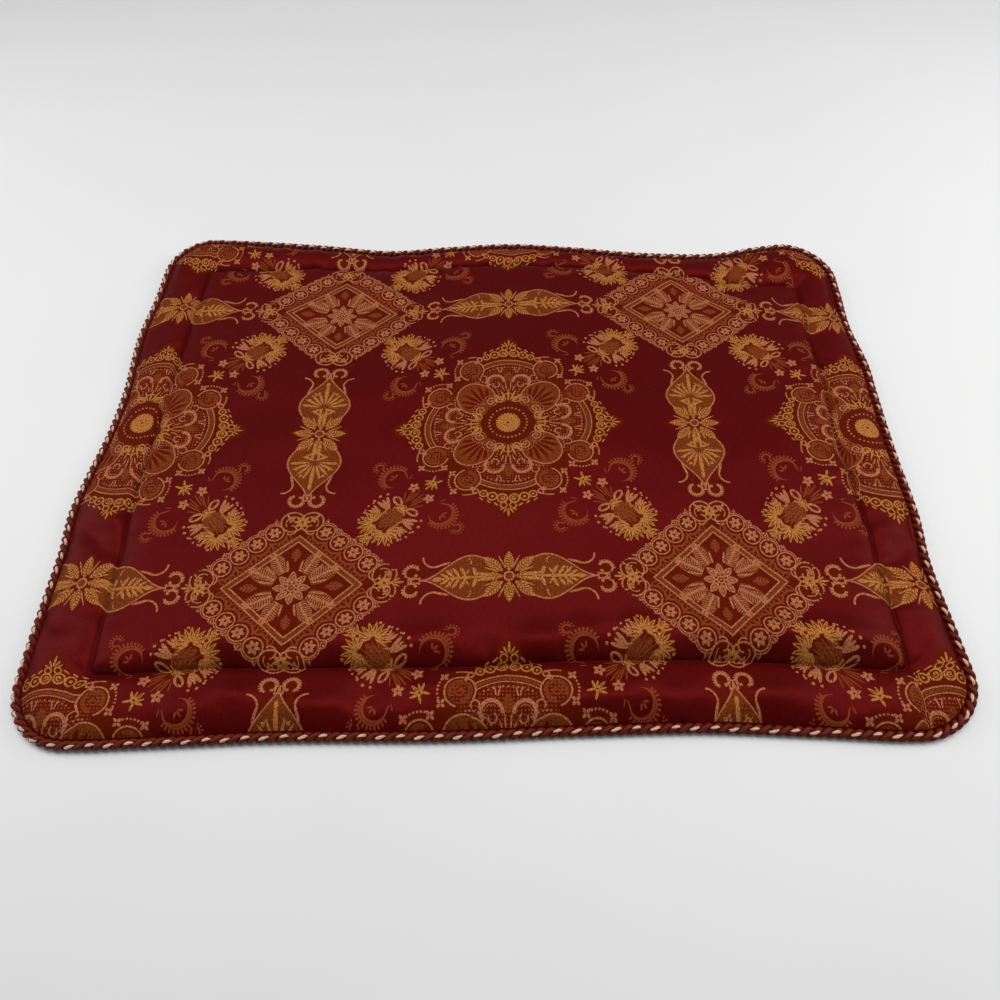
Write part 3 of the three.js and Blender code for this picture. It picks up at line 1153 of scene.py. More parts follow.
@dataclass(frozen=True)
class Backing:
    """The plain cloth of the back."""

    colour: Colour = linear(88, 16, 24)
    fuzz: Colour = (0.9, 0.5, 0.5)
    roughness: float = 0.72
    sheen: float = 0.3
    slub_size: tuple[float, float, float] = (2.0, 14.0, 4.0)
    streaks: float = 0.6
    thread: float = 0.5
    relief: float = 0.08

    def dress(self) -> bpy.types.Material:
        """Make the finish.

        Returns:
            The material.
        """
        finish = FinishNodes("backing")
        place = finish.place()
        slubs = finish.noise(place, self.slub_size)
        finish.set(colour=finish.scaled(self.colour, slubs.about_one(self.streaks)),
                   roughness=self.roughness, sheen=self.sheen, sheen_tint=self.fuzz)
        weave = place.x.fold(self.thread) + place.y.fold(self.thread)
        finish.bump(weave + slubs * self.streaks, self.relief)
        return finish.material


@dataclass(frozen=True)
class Yarn:
    """The finish of a twisted strand, its fibres running along it as stripes of painted highlight and painted
    shade.
    """

    name: str
    colour: Colour
    glint: Colour = (1.0, 0.5, 0.35)
    roughness: float = 0.55
    specular: float = 0.25
    fibres_along: float = 700.0
    fibres_round: float = 5.0
    fibre_light_swing: float = 1.1
    tuft_size: tuple[float, float, float] = (0.9, 0.9, 0.9)
    tuft_swing: float = 0.5
    darkest: float = 0.25
    relief: float = 0.25

    def dress(self) -> bpy.types.Material:
        """Make the finish.

        Returns:
            The material.
        """
        finish = FinishNodes(self.name)
        strand = Spot(finish.node("ShaderNodeUVMap", {"uv_map": "UVMap"}, {}))
        fibres = (strand.x * self.fibres_along - strand.y * self.fibres_round).fold(0.5)
        tufts = finish.noise(finish.place(), self.tuft_size)
        # Colour: painted highlight on each fibre and painted shade between the fibres, with random tone from the
        # tufts.
        shade = fibres * self.fibre_light_swing + tufts * self.tuft_swing + self.darkest
        finish.set(colour=finish.scaled(self.colour, shade), roughness=self.roughness,
                   specular=self.specular, specular_tint=self.glint)
        finish.bump(fibres + tufts * self.tuft_swing, self.relief)
        return finish.material


@dataclass(frozen=True)
class Floor:
    """The pale surface that the sham lies on."""

    colour: Colour = linear(197, 197, 198)
    roughness: float = 0.55
    cloud_size: tuple[float, float, float] = (160.0, 160.0, 160.0)
    cloud_swing: float = 0.04
    darkest: float = 0.97

    def dress(self) -> bpy.types.Material:
        """Make the finish.

        Returns:
            The material.
        """
        finish = FinishNodes("pale_floor")
        clouds = finish.noise(finish.place(), self.cloud_size)
        finish.set(colour=finish.scaled(self.colour, clouds * self.cloud_swing + self.darkest),
                   roughness=self.roughness)
        return finish.material


@dataclass(frozen=True)
class Station:
    """A point along a side: how far the cloth lies inside the bounding rectangle, how wide the
    flange is, how much cloth its channel takes up, how far the flange's cloth has slid along the
    channel, and how high the cloth is lifted off the surface."""

    at: float
    inset: float
    flange: float
    take: float
    slide: float
    lift: float = 0.0


@dataclass(frozen=True)
class Side:
    """A side of the cloth: the axis that it closes, the way outwards and the stations along it."""

    axis: int
    out: int
    stations: tuple[Station, ...]

    def along(self, x: np.ndarray, y: np.ndarray) -> np.ndarray:
        """Return how far along the side some places lie."""
        return (y, x)[self.axis]

    def measure(self, column: str, at: np.ndarray) -> np.ndarray:
        """Return one measure of the side as a smooth curve along it.

        Args:
            column: the measure's name.
            at: the places along the side.

        Returns:
            The measure at each place.
        """
        spots = np.array([station.at for station in self.stations])
        values = np.array([getattr(station, column) for station in self.stations])
        slopes = np.empty_like(values)
        slopes[1:-1] = (values[2:] - values[:-2]) / (spots[2:] - spots[:-2])
        slopes[0] = (values[1] - values[0]) / (spots[1] - spots[0])
        slopes[-1] = (values[-1] - values[-2]) / (spots[-1] - spots[-2])
        place = np.clip(at, spots[0], spots[-1])
        row = np.clip(np.searchsorted(spots, place, side="right") - 1, 0, len(spots) - 2)
        run = spots[row + 1] - spots[row]
        t = (place - spots[row]) / run
        rest = 1 - t
        return (values[row] * rest * rest * (1 + 2 * t) + values[row + 1] * t * t * (3 - 2 * t)
                + run * t * rest * (slopes[row] * rest - slopes[row + 1] * t))


LEFT = Side(0, -1, (
    Station(-250, 9.2, 50, -2, -3), Station(-190, 6.4, 50, -2, 4), Station(-123, 4.4, 49, 1, 7),
    Station(-82, 0.0, 50, 4, 8), Station(-45, 2.4, 47, 6, 8), Station(8, 7.6, 41, 6, 10),
    Station(64, 7.8, 41, 6, 10), Station(139, 1.4, 48, 4, 7), Station(194, 3.9, 46, 6, 9),
    Station(250, 6.4, 46, 7, 9),
))
RIGHT = Side(0, 1, (
    Station(-257, 5.4, 41, 17, -5), Station(-200, 7.6, 38, 13, -2), Station(-135, 9.0, 36, 15, -5),
    Station(-80, 4.3, 41, 16, -4), Station(-10, 4.2, 43, 18, -8), Station(66, 1.9, 40, 16, -13),
    Station(115, 0.0, 43, 14, -14), Station(167, 4.4, 36, 14, -13), Station(224, 2.4, 36, 14, -12),
))
FRONT = Side(1, -1, (
    Station(-290, 0.0, 50, 2, 3), Station(-223, 2.6, 52, 2, 4), Station(-157, 5.0, 49, 2, 4),
    Station(-24, 4.7, 49, 2, 0), Station(63, 7.6, 50, 2, -1), Station(160, 9.5, 48, 2, -5),
    Station(236, 6.2, 47, 2, -7), Station(299, 2.2, 46, 2, -6),
))
BACK = Side(1, 1, (
    Station(-332, 0.0, 47, 0, 0, 6.3), Station(-260, 5.8, 42, 0, 0, 4.8),
    Station(-188, 13.1, 33, -3, 0, 2.5), Station(-116, 21.9, 28, -5, 1, 0.0),
    Station(-47, 21.4, 28, 0, 3, 3.0), Station(22, 22.1, 29, -2, 6, 5.5),
    Station(91, 28.6, 27, -2, 5, 4.0), Station(157, 36.5, 26, 0, 3, 1.2),
    Station(224, 41.6, 32, 0, 0, 0.2), Station(258, 42.2, 44, 0, 0, 1.6),
    Station(293, 39.4, 55, 0, 0, 5.6), Station(327, 38.0, 58, 0, 0, 7.8),
    Station(360, 38.0, 56, 0, 0, 5.0),
))
SIDES = (LEFT, RIGHT, FRONT, BACK)


@dataclass(frozen=True)
class Fold:
    """A soft ridge or, with a negative rise, a hollow in the padding."""

    x: float
    y: float
    run: float
    length: float
    width: float
    rise: float

    def height(self, x: np.ndarray, y: np.ndarray) -> np.ndarray:
        """Return the fold's height at some places.

        Args:
            x: the places' x.
            y: the places' y.

        Returns:
            The height at each place.
        """
        turn = math.radians(self.run)
        dx = x - self.x
        dy = y - self.y
        along = (dx * math.cos(turn) + dy * math.sin(turn)) / (self.length / 2)
        across = (dy * math.cos(turn) - dx * math.sin(turn)) / (self.width / 2)
        return self.rise * np.exp(-along * along - across * across)


FOLDS = (
    Fold(-343, -111, -41, 66, 18, -4.6), Fold(-330, -94, -41, 60, 20, 2.6),
    Fold(-347, -211, 0, 34, 18, -3.0), Fold(344, -141, 32, 56, 18, -4.6),
    Fold(338, -118, 30, 56, 20, 2.6), Fold(-225, -270, 0, 44, 22, 3.6),
    Fold(-188, -257, 0, 36, 20, 3.6), Fold(-134, -268, 0, 60, 22, 4.2),
    Fold(-90, -262, 70, 40, 24, -3.8), Fold(-34, -252, 0, 34, 20, 4.4),
    Fold(20, -268, 60, 44, 24, -3.6), Fold(100, -263, 0, 110, 24, 6.0),
    Fold(119, -249, 0, 26, 18, 4.6), Fold(178, -262, 70, 44, 22, -4.2),
    Fold(213, -263, 0, 46, 22, 4.4), Fold(270, -266, 60, 44, 24, -3.4),
    Fold(-194, -216, 0, 44, 26, 4.6), Fold(-146, -222, 0, 26, 22, -2.4),
    Fold(-113, -217, 0, 44, 26, 4.8), Fold(-46, -218, 0, 56, 26, 4.2),
    Fold(43, -219, 0, 40, 26, 4.6), Fold(79, -212, 0, 30, 24, 3.8),
    Fold(119, -211, 0, 34, 24, 4.2), Fold(170, -212, 0, 44, 26, 4.8),
    Fold(222, -214, 0, 56, 30, 8.4), Fold(277, -220, -6, 56, 28, 7.4),
    Fold(0, -222, 0, 30, 22, -2.2), Fold(-250, -222, 0, 34, 22, 3.0),
    Fold(-66, 206, 60, 60, 24, -4.0), Fold(-20, 210, 80, 50, 22, -3.2),
    Fold(246, 184, -12, 80, 26, -4.0), Fold(316, 176, 74, 80, 24, -4.4),
    Fold(328, 105, 84, 60, 22, -3.4), Fold(-120, 190, 0, 70, 30, 2.4),
    Fold(40, 186, 0, 80, 30, 2.6),
)


@dataclass(frozen=True)
class Pull:
    """A spot where the wadding has drawn the woven figure along and across the panel."""

    x: float
    y: float
    along: float
    across: float
    reach_x: float = 120.0
    reach_y: float = 130.0

    def share(self, x: np.ndarray, y: np.ndarray) -> np.ndarray:
        """Return how strongly the pull works at some places."""
        return np.exp(-((x - self.x) / self.reach_x) ** 2 - ((y - self.y) / self.reach_y) ** 2)


PULLS = (
    Pull(-270, -180, -1, -1), Pull(-135, -180, -1, -3), Pull(0, -180, 0, 6), Pull(135, -180, 4, 2),
    Pull(270, -180, -10, -5), Pull(-270, 0, -6, 6), Pull(-135, 0, 4, -8), Pull(0, 0, 1, -2),
    Pull(135, 0, -3, -3), Pull(270, 0, -1, 7), Pull(-270, 150, -3, 12), Pull(-135, 150, 3, -11),
    Pull(0, 150, -1, 9), Pull(135, 150, 6, 0), Pull(270, 150, -4, -15),
)


def smooth_step(share: np.ndarray) -> np.ndarray:
    """Return a share from 0 to 1 eased at both ends."""
    s = np.clip(share, 0.0, 1.0)
    return s * s * (3 - 2 * s)


def smooth_min(a: np.ndarray, b: np.ndarray, radius: float) -> np.ndarray:
    """Return the lower of two values, rounded where they are close."""
    h = np.maximum(radius - np.abs(a - b), 0) / radius
    return np.minimum(a, b) - h * h * radius / 4


@dataclass(frozen=True)
class ShamPlan:
    """The sham's outline, sewn channel and heights, in millimetres."""

    width: float = 752.0
    depth: float = 596.0
    rope_radius: float = 4.25
    clearance: float = 0.4
    back_thickness: float = 1.6
    corner_radius: float = 46.0
    edge_height: float = 5.6
    channel_height: float = 6.8
    flange_puff: float = 7.4
    panel_puff: float = 8.0
    crown: float = 11.6
    edge_rounding: float = 9.0
    flange_rounding: float = 13.0
    panel_rounding: float = 8.0
    flange_ease: float = 0.75
    panel_ease: float = 0.4
    groove_depth: float = 2.4
    groove_half: float = 2.4
    channel_corner: float = 5.0
    corner_blend: float = 40.0
    corner_lean: float = 0.2
    overlap_half: float = 45.0
    step_run: float = 10.0
    step_gap: float = 2.0
    lift_reach: float = 100.0

    @property
    def band(self) -> float:
        """How much of the width the edging takes on one side."""
        return 2 * self.rope_radius + self.clearance

    def edge(self, side: Side, at: np.ndarray) -> np.ndarray:
        """Return the coordinate at which the cloth ends on a side.

        Args:
            side: the side.
            at: the places along it.

        Returns:
            The coordinate across the side at each place.
        """
        half = (self.width, self.depth)[side.axis] / 2
        return side.out * (half - self.band - side.measure("inset", at))

    def channel(self, side: Side, at: np.ndarray) -> np.ndarray:
        """Return the coordinate at which the sewn channel runs on a side."""
        return self.edge(side, at) - side.out * side.measure("flange", at)

    def inwards(self, line: Callable[[Side, np.ndarray], np.ndarray], x: np.ndarray,
                y: np.ndarray) -> list[np.ndarray]:
        """Return the distances inwards from the four lines along the sides.

        Args:
            line: the edge or the channel method.
            x: the places' x.
            y: the places' y.

        Returns:
            The distances from the left, right, front and back line.
        """
        return [side.out * (line(side, side.along(x, y)) - (x, y)[side.axis]) for side in SIDES]

    def inside_edge(self, x: np.ndarray, y: np.ndarray) -> np.ndarray:
        """Return the distance inwards from the cloth's edge.

        Args:
            x: the places' x.
            y: the places' y.

        Returns:
            The distance at each place.
        """
        left, right, front, back = self.inwards(self.edge, x, y)
        across, deep = np.minimum(left, right), np.minimum(front, back)
        r = self.corner_radius
        corner = r - np.hypot(r - across, r - deep)
        return np.where((across > r) | (deep > r), np.minimum(across, deep), corner)

    def inside_channel(self, x: np.ndarray, y: np.ndarray) -> np.ndarray:
        """Return the distance inwards from the sewn channel.

        Args:
            x: the places' x.
            y: the places' y.

        Returns:
            The distance at each place, negative in the flange.
        """
        r = self.channel_corner
        left, right, front, back = self.inwards(self.channel, x, y)
        return smooth_min(smooth_min(left, right, r), smooth_min(front, back, r), r)

    def side_share(self, x: np.ndarray, y: np.ndarray) -> np.ndarray:
        """Return how near a place is to the left or right channel, against the other two.

        Args:
            x: the places' x.
            y: the places' y.

        Returns:
            The share, 0 or less at the front and back and 1 or more at the sides.
        """
        left, right, front, back = self.inwards(self.channel, x, y)
        across, deep = np.minimum(left, right), np.minimum(front, back)
        return (np.maximum(deep, 0) - np.maximum(across, 0)) / self.corner_blend + self.corner_lean

    def lift(self, x: np.ndarray, y: np.ndarray) -> np.ndarray:
        """Return how far the cloth is lifted off the surface near the back edge."""
        share = 1 - (self.edge(BACK, x) - y) / self.lift_reach
        return BACK.measure("lift", x) * smooth_step(share)

    def dome(self, low: Side, high: Side, place: np.ndarray, at: np.ndarray) -> np.ndarray:
        """Return the crown's share of its height along one axis.

        Args:
            low: the side at the axis's low end.
            high: the side at its high end.
            place: the places' coordinate on the axis.
            at: the places along the two sides.

        Returns:
            The share at each place, 1 midway and 0 at both channels.
        """
        start, end = self.channel(low, at), self.channel(high, at)
        middle = (start + end) / 2
        return np.cos(math.pi / 2 * (place - middle) / (end - middle)) ** 2

    def face_height(self, x: np.ndarray, y: np.ndarray) -> np.ndarray:
        """Return the height of the padding's face, before the lift.

        Args:
            x: the places' x.
            y: the places' y.

        Returns:
            The height at each place.
        """
        edge = np.maximum(self.inside_edge(x, y), 0)
        channel = self.inside_channel(x, y)
        side = smooth_step(self.side_share(x, y))
        rounding = np.where(channel < 0, self.flange_rounding, self.panel_rounding)
        ease = np.where(channel < 0, self.flange_ease, self.panel_ease) * side
        swell = 1 - (1 - ease) * np.exp(-np.abs(channel) / rounding)
        roll = 1 - np.exp(-edge / self.edge_rounding)
        rise = sum(fold.height(x, y) for fold in FOLDS)
        base = self.edge_height + (self.channel_height - self.edge_height) * roll
        flange = base + (self.flange_puff + rise) * roll * swell
        dome = self.dome(LEFT, RIGHT, x, y) * self.dome(FRONT, BACK, y, x)
        panel = self.channel_height + (self.panel_puff + rise) * swell + self.crown * dome
        groove = self.groove_depth * np.exp(-np.abs(channel) / self.groove_half)
        return np.where(channel < 0, flange, panel) - groove * roll

    def underside_height(self, x: np.ndarray, y: np.ndarray) -> np.ndarray:
        """Return the height of the front's underside, raised over the envelope's overlap."""
        over = smooth_step((self.overlap_half + 2 * self.step_run - np.abs(y)) / self.step_run)
        return (self.back_thickness + self.clearance) * (1 + over)

    def inner_height(self, x: np.ndarray, y: np.ndarray) -> np.ndarray:
        """Return the height of the inner back panel, which steps up over the outer one's hem."""
        step = smooth_step((y + self.overlap_half + self.step_run + self.step_gap) / self.step_run)
        return (self.back_thickness + self.clearance) * step

    def crossing(self, column: np.ndarray, row: np.ndarray) -> tuple[np.ndarray, np.ndarray]:
        """Return the plan place of a mesh line's crossing.

        Args:
            column: from -1 at the left edge, 0 and 1 at the channels, to 2 at the right edge.
            row: the same from front to back.

        Returns:
            The place's x and y.
        """
        y = self.spread(row, FRONT, BACK, np.zeros(1))
        x = self.spread(column, LEFT, RIGHT, y)
        y = self.spread(row, FRONT, BACK, x)
        return self.round_corner(x, y)

    def spread(self, line: np.ndarray, low: Side, high: Side, at: np.ndarray) -> np.ndarray:
        """Return where mesh lines run from one edge of the cloth to the other.

        Args:
            line: the lines, from -1 at the low edge, 0 and 1 at the channels, to 2.
            low: the side at the low end.
            high: the side at the high end.
            at: the places along the two sides.

        Returns:
            Each line's coordinate.
        """
        start, end = self.channel(low, at), self.channel(high, at)
        middle = start + (end - start) * line
        below = start + (start - self.edge(low, at)) * line
        above = end + (self.edge(high, at) - end) * (line - 1)
        return np.where(line < 0, below, np.where(line > 1, above, middle))

    def round_corner(self, x: np.ndarray, y: np.ndarray) -> tuple[np.ndarray, np.ndarray]:
        """Return places with the square corners drawn into quarter circles.

        Args:
            x: the places' x.
            y: the places' y.

        Returns:
            The new x and y.
        """
        edge_x = np.where(x < 0, self.edge(LEFT, y), self.edge(RIGHT, y))
        edge_y = np.where(y < 0, self.edge(FRONT, x), self.edge(BACK, x))
        s = np.maximum(1 - np.abs(edge_x - x) / self.corner_radius, 0)
        t = np.maximum(1 - np.abs(edge_y - y) / self.corner_radius, 0)
        inward_x = self.corner_radius * s * (1 - np.sqrt(1 - t * t / 2))
        inward_y = self.corner_radius * t * (1 - np.sqrt(1 - s * s / 2))
        return x - np.sign(x) * inward_x, y - np.sign(y) * inward_y

    def loop(self, low: float, high: float, points: int) -> tuple[np.ndarray, np.ndarray]:
        """Return a closed line round the sham along four of its mesh lines.

        Args:
            low: the mesh line on the left and at the front, numbered as for crossing.
            high: the mesh line on the right and at the back.
            points: how many points each side gets.

        Returns:
            The line's x and y, from the front left corner and anticlockwise.
        """
        going = np.linspace(low, high, points, endpoint=False)
        coming = low + high - going
        start, end = np.full_like(going, low), np.full_like(going, high)
        return self.crossing(np.concatenate((going, end, coming, start)),
                             np.concatenate((start, going, end, coming)))


def gathered(cells: int, tight: float, reach: float = 6.0) -> np.ndarray:
    """Return mesh line places from 0 to 1 that lie closer together at both ends.

    Args:
        cells: how many cells there are between the lines.
        tight: the share of the usual spacing at the ends.
        reach: how many cells the tightening reaches over.

    Returns:
        The places.
    """
    number = np.arange(cells) + 0.5
    near = np.exp(-((number / reach) ** 2)) + np.exp(-(((cells - number) / reach) ** 2))
    spacing = 1 - (1 - tight) * near
    return np.concatenate(([0.0], np.cumsum(spacing))) / spacing.sum()


def unit(ways: np.ndarray) -> np.ndarray:
    """Return directions at a length of 1."""
    return ways / np.linalg.norm(ways, axis=1, keepdims=True)


def distances(path: np.ndarray) -> np.ndarray:
    """Return how far along a line each of its points lies."""
    return np.concatenate(([0.0], np.cumsum(np.linalg.norm(np.diff(path, axis=0), axis=1))))


def points_at(path: np.ndarray, reached: np.ndarray, at: np.ndarray) -> np.ndarray:
    """Return the points of a line at some of its distances."""
    return np.stack([np.interp(at, reached, path[:, axis]) for axis in range(3)], 1)


def add_object(name: str, data: bpy.types.ID) -> bpy.types.Object:
    """Put a new object into the scene.

    Args:
        name: its name.
        data: its mesh, light or camera.

    Returns:
        The object.
    """
    made = bpy.data.objects.new(name, data)
    bpy.context.scene.collection.objects.link(made)
    return made


def mesh_of(name: str, shape: bmesh.types.BMesh) -> bpy.types.Mesh:
    """Turn a bmesh into a mesh.

    Args:
        name: the mesh's name.
        shape: the bmesh, freed here.

    Returns:
        The mesh.
    """
    mesh = bpy.data.meshes.new(name)
    shape.to_mesh(mesh)
    shape.free()
    return mesh


def mesh_piece(name: str, shape: bmesh.types.BMesh, materials: Sequence[bpy.types.Material]) -> bpy.types.Object:
    """Make a piece from a bmesh whose places are in millimetres.

    Args:
        name: the piece's name.
        shape: its bmesh, freed here.
        materials: its materials, in the order of the faces' numbers.

    Returns:
        The piece, which rides on the sham.
    """
    bmesh.ops.scale(shape, vec=Vector((MILLIMETRE,) * 3), verts=shape.verts)
    return finished_piece(name, mesh_of(name, shape), materials)


def finished_piece(name: str, mesh: bpy.types.Mesh, materials: Sequence[bpy.types.Material]) -> bpy.types.Object:
    """Make a smooth piece from a mesh in metres.

    Args:
        name: the piece's name.
        mesh: its mesh.
        materials: its materials, in the order of the faces' numbers.

    Returns:
        The piece, which rides on the sham.
    """
    for material in materials:
        mesh.materials.append(material)
    for face in mesh.polygons:
        face.use_smooth = True
    piece = add_object(name, mesh)
    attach(piece, "root")
    return piece


def plain_grid(columns: int, rows: int) -> tuple[bmesh.types.BMesh, np.ndarray]:
    """Make a flat grid.

    Args:
        columns: how many cells it has from left to right.
        rows: how many cells it has from front to back.

    Returns:
        The bmesh, and each point's shares of the width and depth, from 0 to 1.
    """
    shape = bmesh.new()
    bmesh.ops.create_grid(shape, x_segments=columns, y_segments=rows, size=0.5, calc_uvs=False)
    shape.verts.ensure_lookup_table()
    shares = np.array([(v.co.x + 0.5, v.co.y + 0.5) for v in shape.verts])
    return shape, shares


def move_points(points: Sequence[bmesh.types.BMVert], x: np.ndarray, y: np.ndarray,
                z: np.ndarray) -> None:
    """Move points to places given by three rows of coordinates."""
    for point, place in zip(points, np.stack((x, y, z), axis=1).tolist()):
        point.co = place


@dataclass(frozen=True)
class Stitching:
    """A row of thread stitches, each a short rounded bar half sunk in the cloth."""

    pitch: float = 3.8
    length: float = 2.9
    radius: float = 0.42

    def build(self, name: str, path: np.ndarray, material: bpy.types.Material,
              slot: str) -> bpy.types.Object:
        """Make a row of stitches.

        Args:
            name: the piece's name.
            path: the row's line, in millimetres.
            material: the thread's finish.
            slot: not used.

        Returns:
            The piece, which rides on the sham.
        """
        ball = bmesh.new()
        bmesh.ops.create_uvsphere(ball, u_segments=6, v_segments=4, radius=1.0)
        ball.verts.index_update()
        corners = np.array([point.co for point in ball.verts])
        corners *= (self.radius, self.radius, self.length / 2)
        sides = [[point.index for point in face.verts] for face in ball.faces]
        ball.free()
        reached = distances(path)
        middles = np.arange(self.pitch, reached[-1] - self.pitch, self.pitch)
        start, middle, end = (points_at(path, reached, middles + share * self.length)
                              for share in (-0.5, 0, 0.5))
        ahead = unit(end - start)
        aside = np.cross((0, 0, 1.0), ahead)
        turns = np.stack((aside, np.cross(ahead, aside), ahead), 1)
        points = (corners @ turns + middle[:, None]).reshape(-1, 3) * MILLIMETRE
        faces = [[corner + first for corner in side]
                 for first in range(0, len(points), len(corners)) for side in sides]
        mesh = bpy.data.meshes.new(name)
        mesh.from_pydata(points.tolist(), [], faces)
        return finished_piece(name, mesh, [material])


@dataclass
class FrontPanel:
    """The padded front: one cloth over the panel and its flange, sewn down along the channel."""

    plan: ShamPlan
    cloth: Jacquard
    flange_cells: int = 22
    panel_columns: int = 250
    panel_rows: int = 200
    flange_tight: float = 0.35
    panel_tight: float = 0.25
    middle_x: float = 18.3
    middle_y: float = -2.2
    tuck: float = 6.0
    ripple_lengths: tuple[float, ...] = (19.0, 27.0, 34.0, 47.0)
    ripple_rise: float = 0.4
    gather_reach: float = 7.0
    gather_rise: float = 0.8
    hem_reach: float = 6.0
    hem_rise: float = 0.7
    billow_lengths: tuple[float, ...] = (62.0, 78.0, 96.0, 120.0, 150.0, 190.0)
    billow_ratio: float = 270.0
    calm_channel: float = 30.0
    calm_edge: float = 14.0
    bake_margin: float = 0.01
    bake_size: tuple[float, float] = (0.98, 0.93)
    turned_edge: tuple[tuple[float, float], ...] = ((1.006, 0.6), (1.005, 0.0), (0.97, 0.0), (0.62, 0.0))
    seam_points: int = 400
    seam_rounds: int = 4
    seam_probe: float = 0.5
    least_slope: float = 0.2
    stitch_rise: float = 0.15
    seed: int = 11

    def lines(self, shares: np.ndarray, middle_cells: int) -> np.ndarray:
        """Return the mesh lines that some points of the grid lie on.

        Args:
            shares: the points' shares of the grid, from 0 to 1.
            middle_cells: how many cells lie between the channels.

        Returns:
            The lines, from -1 to 2.
        """
        flange = gathered(self.flange_cells, self.flange_tight)
        middle = gathered(middle_cells, self.panel_tight)
        lines = np.concatenate((flange[:-1] - 1, middle, flange[1:] + 1))
        return lines[np.rint(shares * (len(lines) - 1)).astype(int)]

    def ripples(self, along: np.ndarray, draws: random.Random) -> np.ndarray:
        """Return uneven small waves along a seam.

        Args:
            along: the places along it.
            draws: the source of chance.

        Returns:
            The wave at each place, from about -1 to 1.
        """
        wave = np.zeros_like(along)
        for length in self.ripple_lengths:
            start = draws.uniform(0, math.tau)
            wave += np.sin(along * math.tau / length + start) * self.ripple_rise
        return wave

    def puckers(self, x: np.ndarray, y: np.ndarray) -> np.ndarray:
        """Return the height of the small gathers on both sides of the channel and at the edge.

        Args:
            x: the places' x.
            y: the places' y.

        Returns:
            The height at each place.
        """
        draws = random.Random(self.seed)
        channel = self.plan.inside_channel(x, y)
        left, right, front, back = np.abs(self.plan.inwards(self.plan.channel, x, y))
        along = np.where(np.minimum(left, right) < np.minimum(front, back), y, x)
        panel, flange, rim = (self.ripples(along, draws) for _ in range(3))
        near = np.abs(channel) / self.gather_reach
        gather = np.where(channel > 0, panel, flange) * near * np.exp(1 - near)
        hem = np.maximum(self.plan.inside_edge(x, y), 0) / self.hem_reach
        return gather * self.gather_rise + rim * hem * np.exp(1 - hem) * self.hem_rise

    def billows(self, x: np.ndarray, y: np.ndarray) -> np.ndarray:
        """Return the height of the padding's long soft waves, which die out at the seams.

        Args:
            x: the places' x.
            y: the places' y.

        Returns:
            The height at each place.
        """
        draws = random.Random(self.seed + 1)
        wave = np.zeros_like(x)
        for length in self.billow_lengths:
            turn = draws.uniform(0, math.pi)
            run = x * math.cos(turn) + y * math.sin(turn)
            start = draws.uniform(0, math.tau)
            wave += np.sin(run * math.tau / length + start) * length / self.billow_ratio
        channel = np.abs(self.plan.inside_channel(x, y))
        edge = np.maximum(self.plan.inside_edge(x, y), 0)
        return wave * smooth_step(channel / self.calm_channel) * smooth_step(edge / self.calm_edge)

    def cloth_place(self, x: np.ndarray, y: np.ndarray) -> tuple[np.ndarray, np.ndarray]:
        """Return places on the flat cloth, with what the channel takes up left out.

        Args:
            x: the places' x on the plan.
            y: the places' y on the plan.

        Returns:
            The places' two coordinates on the cloth.
        """
        place = [x - self.middle_x - sum(pull.along * pull.share(x, y) for pull in PULLS),
                 y - self.middle_y - sum(pull.across * pull.share(x, y) for pull in PULLS)]
        for side, inward in zip(SIDES, self.plan.inwards(self.plan.channel, x, y)):
            at = side.along(x, y)
            past = smooth_step((self.tuck - inward) / (2 * self.tuck))
            place[side.axis] += side.out * side.measure("take", at) * past
            place[1 - side.axis] -= side.measure("slide", at) * past
        return place[0], place[1]

    def build(self) -> bpy.types.Object:
        """Make the panel.

        Returns:
            The panel's cloth.
        """
        shape, shares = plain_grid(self.panel_columns + 2 * self.flange_cells,
                                   self.panel_rows + 2 * self.flange_cells)
        x, y = self.plan.crossing(self.lines(shares[:, 0], self.panel_columns),
                                  self.lines(shares[:, 1], self.panel_rows))
        z = (self.plan.face_height(x, y) + self.plan.lift(x, y) + self.puckers(x, y)
             + self.billows(x, y))
        move_points(shape.verts, x, y, z)
        u, v = self.cloth_place(x, y)
        cloth_map = shape.loops.layers.uv.new(CLOTH_MAP)
        bake_map = shape.loops.layers.uv.new(BAKE_MAP)
        baked = self.bake_margin + shares * self.bake_size
        for face in shape.faces:
            numbers = [loop.vert.index for loop in face.loops]
            for loop, number in zip(face.loops, numbers):
                loop[cloth_map].uv = (u[number], v[number])
                loop[bake_map].uv = baked[number]
            figure = self.cloth.repeat.figure_at(u[numbers].mean(), v[numbers].mean())
            face.material_index = figure.value
        self.close(shape)
        materials = [self.cloth.dress(figure) for figure in Figure]
        piece = mesh_piece("front_panel_cloth", shape, materials)
        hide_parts("front_panel")
        return piece

    def close(self, shape: bmesh.types.BMesh) -> None:
        """Turn the cloth's edge down to the back and close the underside.

        Args:
            shape: the panel's bmesh, open below.
        """
        for reach, drop in self.turned_edge:
            rim = [edge for edge in shape.edges if edge.is_boundary]
            made = bmesh.ops.extrude_edge_only(shape, edges=rim)["geom"]
            points = [item for item in made if isinstance(item, bmesh.types.BMVert)]
            x, y, z = np.array([point.co for point in points]).T
            x, y = x * reach, y * reach
            floor = self.plan.underside_height(x, y) + self.plan.lift(x, y)
            move_points(points, x, y, floor + (z - floor) * drop)
            for face in made:
                if isinstance(face, bmesh.types.BMFace):
                    face.material_index = Figure.PLAIN.value
        rim = [edge for edge in shape.edges if edge.is_boundary]
        for face in bmesh.ops.holes_fill(shape, edges=rim, sides=0)["faces"]:
            face.material_index = Figure.PLAIN.value
        bmesh.ops.recalc_face_normals(shape, faces=shape.faces)

